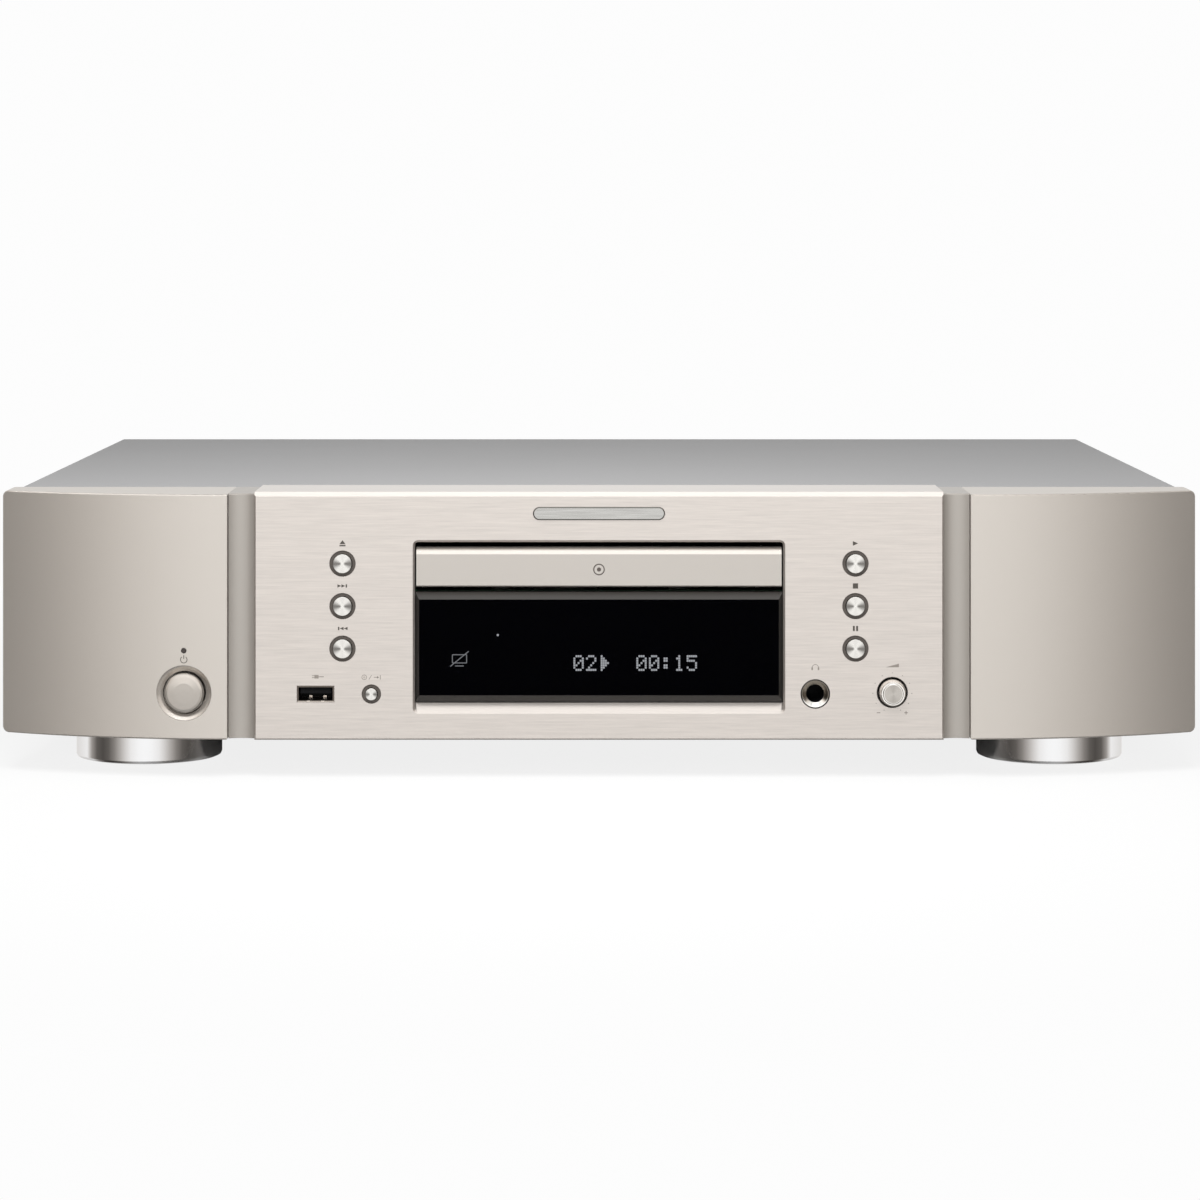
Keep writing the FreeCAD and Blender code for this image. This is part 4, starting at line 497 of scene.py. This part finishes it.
def badge_finish(name):
    """A plated bar with a fine dark line round its edge."""
    s = Shader(name)
    lo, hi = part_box("badge_bar")
    centre = centre_of("badge_bar")
    x, _, z = s.axes()[:3]
    end = (hi.z - lo.z) / 2
    straight = (hi.x - lo.x) / 2 - end
    aside = s.math("ABSOLUTE", s.math("SUBTRACT", x, centre.x))
    beyond = s.math("MAXIMUM", s.math("SUBTRACT", aside, straight), 0.0)
    from_middle = s.length(beyond, s.math("SUBTRACT", z, centre.z))
    rim = s.window(from_middle, end - 0.5 * MM, end - 0.35 * MM)
    grain = s.noise(1, 3, (60, 1800, 1800), 0.6)
    plate = s.blend(grain, rgb(162, 161, 158), rgb(206, 205, 202))
    return s.set(
        base_color=s.blend(rim, plate, rgb(104, 102, 98)),
        metallic=1.0,
        roughness=s.steer(grain, 0.18, 0.28),
        normal=s.bump(grain, 0.06, 0.02 * MM, 0.1 * MM),
    )


def gold_sockets(name, wall_rear):
    """Gold-plated barrels outside the rear wall, black moulding inside it."""
    s = Shader(name)
    outside = s.window(s.axes()[1], wall_rear - 0.1 * MM, wall_rear)
    grain = s.noise(1800, 2)
    return s.set(
        base_color=s.blend(outside, rgb(20, 20, 21), rgb(226, 188, 116)),
        metallic=outside,
        roughness=s.steer(grain, 0.16, 0.3),
        normal=s.bump(grain, 0.05, 0.02 * MM, 0.1 * MM),
    )


def wound_core(name):
    """Tape wound round a toroid: slanted overlapping turns."""
    s = Shader(name)
    turn_count = 60.0
    slant = 900.0
    centre = centre_of("transformer")
    x, y, z = s.axes()[:3]
    across, back = s.math("SUBTRACT", x, centre.x), s.math("SUBTRACT", y, centre.y)
    angle = s.math("MULTIPLY", s.math("ARCTAN2", back, across), turn_count)
    turns = s.math("SINE", s.math("ADD", angle, s.math("MULTIPLY", z, slant)))
    return s.set(
        base_color=s.blend(s.steer(turns, 0.4, 0.6), rgb(44, 44, 48), rgb(70, 66, 60)),
        roughness=0.45,
        normal=s.bump(turns, 0.4, 0.2 * MM),
    )


def coated_lens(name):
    """A black holder whose top dome shows the lens's blue coating."""
    s = Shader(name)
    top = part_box("lens_holder")[1].z
    dome = s.window(s.axes()[2], top - 0.65 * MM, top - 0.6 * MM)
    grain = s.noise(1500, 2)
    return s.set(
        base_color=s.blend(dome, rgb(24, 24, 26), rgb(70, 84, 150)),
        roughness=s.math("MULTIPLY", s.steer(grain, 0.4, 0.5), s.steer(dome, 1.0, 0.1)),
        coat_weight=dome,
        normal=s.bump(grain, 0.05, 0.02 * MM),
    )


def ribbon(name):
    """Flat cable with its ridged conductors."""
    s = Shader(name)
    wire_pitch = 1.25 * MM
    wires = s.math("SINE", s.math("MULTIPLY", s.axes()[0], 2 * math.pi / wire_pitch))
    tone = s.blend(s.window(wires, -0.2, 0.6), rgb(186, 186, 190), rgb(224, 224, 226))
    return s.set(base_color=tone, roughness=0.35, normal=s.bump(wires, 0.5, 0.15 * MM))


CHAMPAGNE = rgb(208, 202, 195)
PLATE = rgb(226, 219, 213)
BOARD_GREEN = rgb(24, 74, 44)
BLACK = rgb(20, 20, 21)
BACKDROP = (0.98, 0.98, 0.98, 1)
WARM_WHITE = (1.0, 0.90, 0.81, 1)
COOL_WHITE = (1.0, 1.0, 0.995, 1)
BOARD_THICKNESS = 1.6 * MM


def dress(names, material):
    """Gives every listed CAD node one material."""
    for name in names.split():
        slots = nodes[name].data.materials
        slots.clear()
        slots.append(material)


def dress_frame():
    wing = {"colour": shade(0.865, CHAMPAGNE), "metallic": 0.82, "roughness": 0.40}
    # painted shade: the frame, seen in the grooves beside the plate, is painted darker than the
    # wings
    frame_painted_shade = {**wing, "colour": shade(0.6, CHAMPAGNE)}
    dress("right_wing", satin_metal_paint("right_panel_paint", **wing))
    dress("left_wing", satin_metal_paint("left_panel_paint", **wing, dish="power_button"))
    dress("front_frame", satin_metal_paint("frame_paint", **frame_painted_shade))
    dress("tray_door", satin_metal_paint("door_paint", shade(0.84, CHAMPAGNE), 0.88, 0.13))
    dress("centre_plate", brushed_aluminium("plate_metal", shade(0.85, PLATE)))
    dress("badge_bar", badge_finish("badge_metal"))
    dress("top_cover", powder_paint("cover_paint", rgb(150, 150, 151), 0.6))
    dress("bottom_chassis rear_panel", powder_paint("chassis_paint", rgb(128, 128, 128), 0.45))
    for key in ("open", "next", "previous", "play", "stop", "pause", "source"):
        node = key + "_button"
        # 0.88 is how deep the painted dark reflection fans are
        dress(node, spun_metal(node + "_metal", node, rgb(238, 236, 232), 0.28, 0.88))
    cap_paint = satin_metal_paint("power_paint", rgb(176, 170, 163), 0.88, 0.2, "power_button")
    dress("power_button", cap_paint)
    knob_tone = rgb(188, 183, 177)
    # skirt: the knob's side beyond it is painted with a highlight
    knob_metal = spun_metal("knob_metal", "level_knob", knob_tone, 0.26, 0.06, skirt=3.2 * MM)
    dress("level_knob", knob_metal)
    dress("display_lens", dark_window("window_acrylic"))
    dress("display_panel", moulded_plastic("display_back", rgb(6, 6, 7), 0.4, 1200, 0.03))
    dress("standby_lamp", moulded_plastic("lamp_plastic", rgb(46, 40, 38), 0.2, 900, 0.02))
    dress("button_bezels", sleeve_finish("sleeve_satin"))
    dress(
        "disc_tray loader_frame power_switch ac_inlet remote_switch clamper",
        moulded_plastic("black_moulding", BLACK),
    )
    dress("phones_socket", headphone_socket("phones_metal"))
    dress("usb_socket", usb_finish("usb_metal"))
    chrome = polished_chrome("foot_chrome")
    dress("front_left_foot front_right_foot rear_left_foot rear_right_foot", chrome)
    dress("foot_pads damper_grommets drive_belt turntable", soft_rubber("rubber", rgb(30, 30, 31)))
    dress("screws", plated_steel("screw_steel", rgb(190, 190, 192), 0.32))


def dress_works():
    dress("clamp_bridge traverse_frame", plated_steel("sheet_steel", rgb(186, 186, 184), 0.34))
    dress(
        "tray_motor spindle_motor sled_motor guide_rods",
        plated_steel("drawn_steel", rgb(196, 196, 198), 0.22),
    )
    dress(
        "tray_gear pulley_gear motor_pulley sled_gear sled_pinion",
        moulded_plastic("acetal", rgb(228, 226, 218), 0.35, 1500, 0.03),
    )
    dress("cam_slider", moulded_plastic("grey_acetal", rgb(120, 122, 126), 0.4, 1500, 0.03))
    dress("pickup_sled", plated_steel("cast_zinc", rgb(150, 150, 152), 0.45))
    dress("lens_holder", coated_lens("pickup_lens"))
    for board in ("main_board", "power_board"):
        board_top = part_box(board)[0].z + BOARD_THICKNESS + 0.02 * MM
        dress(board, circuit_board(board + "_finish", board_top, BOARD_GREEN))
    board_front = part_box("front_board")[1].y - BOARD_THICKNESS
    dress("front_board", front_board_finish("front_board_finish", board_front, BOARD_GREEN))
    dress("transformer", wound_core("coil_tape"))
    dress("ribbon_cables", ribbon("ribbon_plastic"))
    wall_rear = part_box("rear_panel")[1].y
    dress("line_sockets digital_sockets", gold_sockets("socket_gold", wall_rear))


# ---------------------------------------------------------------- flat shapes for print


def ring_points(radius, start=0.0, end=360.0, count=48, centre=(0, 0)):
    """Points along an arc, in degrees from the right, going round anticlockwise."""
    whole = abs(end - start) >= 360
    steps = count if whole else count + 1
    turns = [math.radians(start + (end - start) * i / count) for i in range(steps)]
    return [(centre[0] + radius * math.cos(t), centre[1] + radius * math.sin(t)) for t in turns]


def box_points(width, height, centre=(0, 0)):
    x, z = centre
    w, h = width / 2, height / 2
    return [(x - w, z - h), (x + w, z - h), (x + w, z + h), (x - w, z + h)]


def triangle_points(width, height, centre=(0, 0), way="right"):
    """A triangle that points right or up."""
    x, z = centre
    w, h = width / 2, height / 2
    shapes = {
        "right": [(x - w, z - h), (x + w, z), (x - w, z + h)],
        "up": [(x - w, z - h), (x + w, z - h), (x, z + h)],
    }
    return shapes[way]


def band_points(radius, width, start, end, centre=(0, 0)):
    """A curved band: part of a ring, with square ends."""
    outer = ring_points(radius + width / 2, start, end, 32, centre)
    inner = ring_points(radius - width / 2, start, end, 32, centre)
    return outer + inner[::-1]


def stroke(start, end, width):
    """A straight line of some width."""
    a, b = Vector((*start, 0)), Vector((*end, 0))
    side = (b - a).normalized().cross(Vector((0, 0, 1))) * (width / 2)
    return [(p.x, p.y) for p in (a - side, b - side, b + side, a + side)]


def hoop(radius, width, centre=(0, 0)):
    """A whole ring as two halves, since a face can't hold a hole."""
    halves = ((0, 180), (180, 360))
    return [band_points(radius, width, start, end, centre) for start, end in halves]


def surface_y(node, x, z, start=-0.4, way=1):
    """Where a line along Y through (x, z) first meets a CAD node, from the front, or from the
    back with way -1."""
    hit, point, _, _ = nodes[node].ray_cast(Vector((x, start, z)), Vector((0, way, 0)))
    if not hit:
        raise RuntimeError(f"nothing of {node} is at x {x:.4f}, z {z:.4f}")
    return point.y


PROUD = 0.02 * MM  # how far print stands off the surface it is on
THICK = 0.03 * MM  # of the ink itself


def add_piece(name, mesh, material, body):
    """Makes an object from a bmesh, with its faces turned outwards, that moves with the body."""
    bmesh.ops.recalc_face_normals(mesh, faces=mesh.faces[:])
    data = bpy.data.meshes.new(name)
    mesh.to_mesh(data)
    mesh.free()
    piece = bpy.data.objects.new(name, data)
    bpy.context.scene.collection.objects.link(piece)
    data.materials.append(material)
    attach(piece, body)


def printed(name, shapes, spot, rise, node, material, body="case", follow=False):
    """Thin ink on a CAD node's front. Shapes are outlines in millimetres round a place that is
    rise millimetres above the spot. They lie at the depth found under their first point; with
    follow, each point finds its own."""
    mesh = bmesh.new()
    x, z = spot.x, spot.z + rise * MM
    first_x, first_z = shapes[0][0]
    flat = surface_y(node, x + first_x * MM, z + first_z * MM)
    for outline in shapes:
        front, back = [], []
        for px, pz in outline:
            at_x, at_z = x + px * MM, z + pz * MM
            level = surface_y(node, at_x, at_z) if follow else flat
            front.append(mesh.verts.new((at_x, level - PROUD - THICK, at_z)))
            back.append(mesh.verts.new((at_x, level - PROUD, at_z)))
        count = len(front)
        mesh.faces.new(front)
        mesh.faces.new(back[::-1])
        for i in range(count):
            j = (i + 1) % count
            mesh.faces.new((front[j], front[i], back[i], back[j]))
    add_piece(name, mesh, material, body)


# ---------------------------------------------------------------- print on the front


def key_signs(ink):
    """The usual tape-deck signs, one above each transport button."""
    rise = 7.35
    size = 1.9
    skip = [
        triangle_points(1.4, 1.2, (-1.15, 0)),
        triangle_points(1.4, 1.2, (0.3, 0)),
        box_points(0.5, 1.2, (1.4, 0)),
    ]
    back = [[(-px, pz) for px, pz in reversed(shape)] for shape in skip]
    signs = {
        "open_button": [
            triangle_points(2.2, 1.45, (0, 0.45), "up"),
            box_points(2.2, 0.5, (0, -0.8)),
        ],
        "next_button": skip,
        "previous_button": back,
        "play_button": [triangle_points(1.9, 1.7)],
        "stop_button": [box_points(size, size)],
        "pause_button": [box_points(0.7, size, (-0.6, 0)), box_points(0.7, size, (0.6, 0))],
    }
    for node, shapes in signs.items():
        sign = node.replace("button", "sign")
        printed(sign, shapes, centre_of(node), rise, "centre_plate", ink)


def small_signs(ink):
    """Pictograms by the lower controls, where words would be."""
    plug = [
        box_points(1.5, 1.3, (0.35, 0)),
        stroke((1.1, 0), (3.0, 0), 0.28),
        box_points(0.9, 0.28, (-0.85, 0.34)),
        box_points(0.9, 0.28, (-0.85, -0.34)),
    ]
    printed("usb_sign", plug, centre_of("usb_socket"), 6.3, "centre_plate", ink)

    list_sign = hoop(0.85, 0.22, (-2.6, 0)) + hoop(0.25, 0.14, (-2.6, 0))
    list_sign += [
        stroke((-0.9, -0.8), (0.1, 0.8), 0.2),
        stroke((0.9, 0), (2.6, 0), 0.24),
        triangle_points(0.7, 1.0, (2.45, 0)),
        box_points(0.24, 1.6, (3.25, 0)),
    ]
    printed("source_sign", list_sign, centre_of("source_button"), 6.1, "centre_plate", ink)

    phones = [
        band_points(1.15, 0.22, 0, 180, (0, -0.1)),
        box_points(0.55, 1.0, (-1.15, -0.5)),
        box_points(0.55, 1.0, (1.15, -0.5)),
    ]
    printed("phones_sign", phones, centre_of("phones_socket"), 9.7, "centre_plate", ink)


def level_scale(ink):
    """A wedge above the knob and a ring of ticks round it, from minus to plus."""
    knob = centre_of("level_knob")
    wedge = [[(-2.4, -0.55), (2.4, -0.55), (2.4, 0.75)]]
    printed("level_sign", wedge, knob, 9.7, "centre_plate", ink)
    ring, ticks = 7.1, 11
    first_turn, turn_step = -65, 31
    marks = []
    for tick in range(ticks):
        turn = math.radians(first_turn + turn_step * tick)
        place = (ring * math.cos(turn), ring * math.sin(turn))
        marks.append(ring_points(0.17, count=10, centre=place))
    minus = [box_points(1.3, 0.3, (-5.0, -7.4))]
    plus = [
        box_points(1.3, 0.3, (5.0, -7.4)),
        box_points(0.3, 0.5, (5.0, -7.0)),
        box_points(0.3, 0.5, (5.0, -7.8)),
    ]
    printed("level_marks", marks + minus + plus, knob, 0.0, "centre_plate", ink)


def standby_sign(ink):
    """The usual standby sign over the power button: an open ring with a bar."""
    button = centre_of("power_button")
    shapes = [band_points(1.2, 0.26, 125, 415), box_points(0.28, 1.3, (0, 0.95))]
    printed("standby_sign", shapes, button, 12.2, "left_wing", ink, follow=True)


def door_mark(ink):
    """A ring with a dot, a little below the middle of the tray's door."""
    shapes = hoop(1.9, 0.42) + [ring_points(0.75, count=24)]
    printed("door_ring", shapes, centre_of("tray_door"), -0.9, "tray_door", ink, body="tray")


DOT_GLYPHS = {
    "0": "01110 10001 10011 10101 11001 10001 01110",
    "1": "00100 01100 00100 00100 00100 00100 01110",
    "2": "01110 10001 00001 00010 00100 01000 11111",
    "5": "11111 10000 11110 00001 00001 10001 01110",
    ":": "00000 01100 01100 00000 01100 01100 00000",
    ">": "01000 01100 01110 01111 01110 01100 01000",
    " ": "00000 00000 00000 00000 00000 00000 00000",
}


def display_digits():
    """Track number and time in lit dots on the display's face, behind the window, with a
    struck-out screen at the left and a small lamp above. All in millimetres from its middle."""
    cell, pitch_x, pitch_z = 4.6, 0.767, 0.83
    dot_width, dot_height = 0.66, 0.72
    left, top = -9.0, -3.9
    middle = centre_of("display_panel")
    glow = rgb(226, 230, 236)
    dots = []
    for index, sign in enumerate("02>  00:15"):
        for row, line in enumerate(DOT_GLYPHS[sign].split()):
            for column, lit in enumerate(line):
                if lit == "1":
                    x = left + index * cell + column * pitch_x
                    z = top - row * pitch_z
                    dots.append(box_points(dot_width, dot_height, (x, z)))
    lit = glowing("display_glow", glow, 11)
    printed("display_digits", dots, middle, 0.0, "display_panel", lit)

    west, east, south, north = -53.6, -48.4, -6.35, -3.35
    lines = [
        ((west, north), (east, north)),
        ((west, south), (east, south)),
        ((west, south), (west, north)),
        ((east, south), (east, north)),
        ((west + 1.0, south - 1.1), (east - 1.0, south - 1.1)),
        ((west - 0.8, south - 1.3), (east + 0.8, north + 1.3)),
    ]
    screen = [stroke(start, end, 0.3) for start, end in lines]
    faint = glowing("display_faint", glow, 6)
    printed("display_sign", screen, middle, 0.0, "display_panel", faint)
    lamp = [ring_points(0.42, count=20, centre=(-37.0, 3.85))]
    printed("display_lamp", lamp, middle, 0.0, "display_panel", lit)


# ---------------------------------------------------------------- the back


def turned_ring(name, centre, profile, material, steps=48):
    """A ring about a line along Y, from (radius, depth) points in millimetres."""
    mesh = bmesh.new()
    rings = []
    for step in range(steps):
        turn = 2 * math.pi * step / steps
        across, up = math.cos(turn) * MM, math.sin(turn) * MM
        outline = [Vector((r * across, depth * MM, r * up)) for r, depth in profile]
        rings.append([mesh.verts.new(centre + point) for point in outline])
    count = len(profile)
    for step in range(steps):
        near, far = rings[step], rings[(step + 1) % steps]
        for i in range(count):
            j = (i + 1) % count
            face = mesh.faces.new((near[i], near[j], far[j], far[i]))
            face.smooth = True
    add_piece(name, mesh, material, "case")


def jack_rings():
    """Coloured insulating rings round the phono barrels: the colour tells the channel."""
    colours = {
        "line_out_right": rgb(176, 26, 24),
        "line_out_left": rgb(232, 230, 224),
        "coax_out": rgb(222, 120, 24),
        "remote_in": rgb(40, 40, 42),
        "remote_out": rgb(40, 40, 42),
    }
    profile = [(4.25, 0.02), (5.5, 0.02), (5.5, 0.5), (5.3, 0.75), (4.5, 0.75), (4.25, 0.5)]
    collar = 5.0 * MM
    left_x, _, left_z = frame_mount("line_out_left")["pos_m"]
    collar_rear = surface_y("line_sockets", left_x + collar, left_z, start=0.4, way=-1)
    for mount, colour in colours.items():
        x, _, z = frame_mount(mount)["pos_m"]
        plastic = moulded_plastic(mount + "_plastic", colour, 0.35, 1500, 0.03)
        turned_ring(mount + "_ring", Vector((x, collar_rear, z)), profile, plastic)


# ---------------------------------------------------------------- studio


# Brightness of the studio near the horizon, by degrees round from the front: a wide bright front,
# dark flats at the sides, a strip light behind each of them, and a bright back.
ROUND = [
    (0, 1.00),
    (10, 0.98),
    (22, 0.88),
    (31, 0.68),
    (41, 0.43),
    (50, 0.24),
    (60, 0.12),
    (71, 0.08),
    (84, 0.12),
    (96, 0.34),
    (108, 0.90),
    (134, 0.80),
    (150, 0.75),
    (180, 1.00),
]
CEILING = 1.9  # brightness straight above
GAP = 0.65  # share of the front's light in the gap below the ceiling
UPPER_SIDES = 0.85  # least brightness all round, well above eye level
NADIR = 0.4  # share of light straight below
FRONT_LIGHT = 1.9  # how much brighter the front is above eye level than below
SOFT_SHARE = 0.17  # share of the studio's light that falls on things as soft light


def studio_world():
    """A pale backdrop for the camera; for light and reflections, the studio of ROUND. Its front is
    brighter above eye level, up to a darker gap below the bright ceiling, and it is dark
    underneath. Reflections see it at full strength, soft light takes a share of it."""
    world = bpy.data.worlds.new("studio")
    bpy.context.scene.world = world
    world.use_nodes = True
    world.node_tree.nodes.clear()
    s = Shader("studio", world.node_tree)
    way = s.add("ShaderNodeTexCoord").outputs["Generated"]
    x, y, z = s.add("ShaderNodeSeparateXYZ", {0: way}).outputs[:3]
    turn = s.math("ARCTAN2", s.math("ABSOLUTE", x), s.math("MULTIPLY", y, -1.0))
    ramp = s.add("ShaderNodeValToRGB", {0: s.math("DIVIDE", turn, math.pi)})
    stops = ramp.color_ramp.elements
    for index, (degrees, level) in enumerate(ROUND):
        stop = stops[index] if index < 2 else stops.new(degrees / 180)
        stop.position = degrees / 180
        stop.color = (level, level, level, 1)
    level = s.add("ShaderNodeSeparateColor", {0: ramp.outputs[0]}).outputs[0]
    rays = s.add("ShaderNodeLightPath").outputs
    overhead = s.window(z, 0.5, 0.8)
    neutral = s.math("MAXIMUM", level, overhead)
    tint = s.blend(neutral, WARM_WHITE, COOL_WHITE)
    boost = s.window(z, -0.04, 0.0, 1.0, FRONT_LIGHT)
    front = s.window(turn, 0.9, 1.3, 1.0, 0.0)
    wide = s.math("MAXIMUM", level, s.window(z, 0.35, 0.6, 0.0, UPPER_SIDES))
    raised = s.math("MULTIPLY", wide, s.steer(front, 1.0, boost))
    sunk = s.math("MULTIPLY", raised, s.window(z, -0.8, -0.3, NADIR, 1.0))
    band = s.math("MULTIPLY", raised, s.window(z, 0.8, 0.86, 1.0, GAP))
    up = s.steer(s.window(z, 0.0, 0.02), sunk, band)
    light = s.steer(s.window(z, 0.92, 0.96), up, CEILING)
    light = s.math("MULTIPLY", light, s.steer(rays["Is Diffuse Ray"], 1.0, SOFT_SHARE))
    soft = s.add("ShaderNodeBackground", {"Color": tint, "Strength": light})
    plain = s.add("ShaderNodeBackground", {"Color": BACKDROP, "Strength": 1.0})
    both = s.mix_shaders(rays["Is Camera Ray"], soft, plain)
    s.add("ShaderNodeOutputWorld", {"Surface": both.outputs[0]})


def studio_floor():
    """White paper: it takes the player's soft shadow near by, and fades into the backdrop further
    out. From below, the camera looks through it. Reflections see only the shaded part between
    the feet, so that the chrome mirrors the studio down to its lower edge."""
    mesh = bpy.data.meshes.new("studio_floor")
    reach = 40.0
    low = cad_box[0].z - 0.2 * MM
    corners = [(x, y, low) for x, y in box_points(2 * reach, 2 * reach)]
    mesh.from_pydata(corners, [], [(0, 1, 2, 3)])
    floor = bpy.data.objects.new("studio_floor", mesh)
    bpy.context.scene.collection.objects.link(floor)
    s = Shader("studio_paper")
    fibre = s.noise(300, 3)
    s.set(
        base_color=s.blend(fibre, (0.80, 0.80, 0.80, 1), (0.84, 0.84, 0.84, 1)),
        roughness=0.9,
        specular_ior_level=0.1,
    )
    x, y = s.axes()[:2]
    near, far = 0.2, 0.6
    near_white = 0.86
    away = s.window(s.length(x, y), near, far, near_white, 1.0)
    rays = s.add("ShaderNodeLightPath").outputs
    whiten = s.math("MULTIPLY", rays["Is Camera Ray"], away)
    white = s.add("ShaderNodeEmission", {"Color": BACKDROP, "Strength": 1.0})
    paper = s.mix_shaders(whiten, s.surface, white)
    below = s.add("ShaderNodeNewGeometry").outputs["Backfacing"]
    under = s.math("MULTIPLY", below, rays["Is Camera Ray"])
    foot = centre_of("front_right_foot")
    side_start, side_end = foot.x - 15 * MM, foot.x
    front_end, front_start = foot.y - 35 * MM, foot.y - 10 * MM
    beside = s.window(s.math("ABSOLUTE", x), side_start, side_end)
    before = s.window(y, front_end, front_start, 1.0, 0.0)
    mirrored = s.math("MULTIPLY", rays["Is Glossy Ray"], s.math("MAXIMUM", beside, before))
    clear = s.add("ShaderNodeBsdfTransparent")
    both = s.mix_shaders(s.math("MAXIMUM", under, mirrored), paper, clear)
    output = s.tree.nodes["Material Output"]
    s.tree.links.new(both.outputs[0], output.inputs["Surface"])
    mesh.materials.append(s.material)


def key_light():
    """A soft box in front, above and a little to the left. Reflections don't see it."""
    place = Vector((-0.05, -0.62, 0.55))
    aim = Vector((0, -0.14, 0.1))
    light = bpy.data.lights.new("key_box", "AREA")
    light.shape = "RECTANGLE"
    light.size, light.size_y = 0.5, 0.3
    light.energy = 3.4
    light.spread = math.radians(110)
    lamp = bpy.data.objects.new("key_box", light)
    lamp.location = place
    lamp.visible_glossy = False
    lamp.rotation_euler = (aim - place).to_track_quat("-Z", "Y").to_euler()
    bpy.context.scene.collection.objects.link(lamp)


def camera():
    """A level camera with a shifted lens, as product photographs are taken."""
    lens_shift = {"shift_x": -0.0027, "shift_y": -0.3232}
    quaternion, euler_xyz = 0, 1  # numbers of the rotation modes
    data = bpy.data.cameras.new("camera")
    data.sensor_width = 36
    data.lens = 108.25
    eye = bpy.data.objects.new("camera", data)
    eye.location = Vector((1.55, -1475.1, 206.8)) * MM
    eye.rotation_mode = "XYZ"
    eye.rotation_euler = (math.radians(90), 0, 0)
    bpy.context.scene.collection.objects.link(eye)
    bpy.context.scene.camera = eye
    for channel, shift in lens_shift.items():
        curve = data.driver_add(channel)
        curve.driver.type = "SUM"
        mode = curve.driver.variables.new()
        mode.targets[0].id = eye
        mode.targets[0].data_path = "rotation_mode"
        for modifier in list(curve.modifiers):  # the new curve's own slope of 1
            curve.modifiers.remove(modifier)
        curve.keyframe_points.clear()
        for number, amount in ((quaternion, 0.0), (euler_xyz, shift)):
            curve.keyframe_points.insert(number, amount).interpolation = "LINEAR"


def main():
    dress_frame()
    dress_works()
    ink = printed_ink("dark_ink", rgb(66, 62, 58))
    key_signs(ink)
    grey_ink = printed_ink("grey_ink", rgb(120, 114, 108))
    small_signs(grey_ink)
    level_scale(grey_ink)
    standby_sign(ink)
    door_mark(printed_ink("door_ink", rgb(72, 66, 62)))
    display_digits()
    jack_rings()
    studio_world()
    studio_floor()
    key_light()
    camera()
    bpy.context.scene.view_settings.view_transform = "Standard"


main()
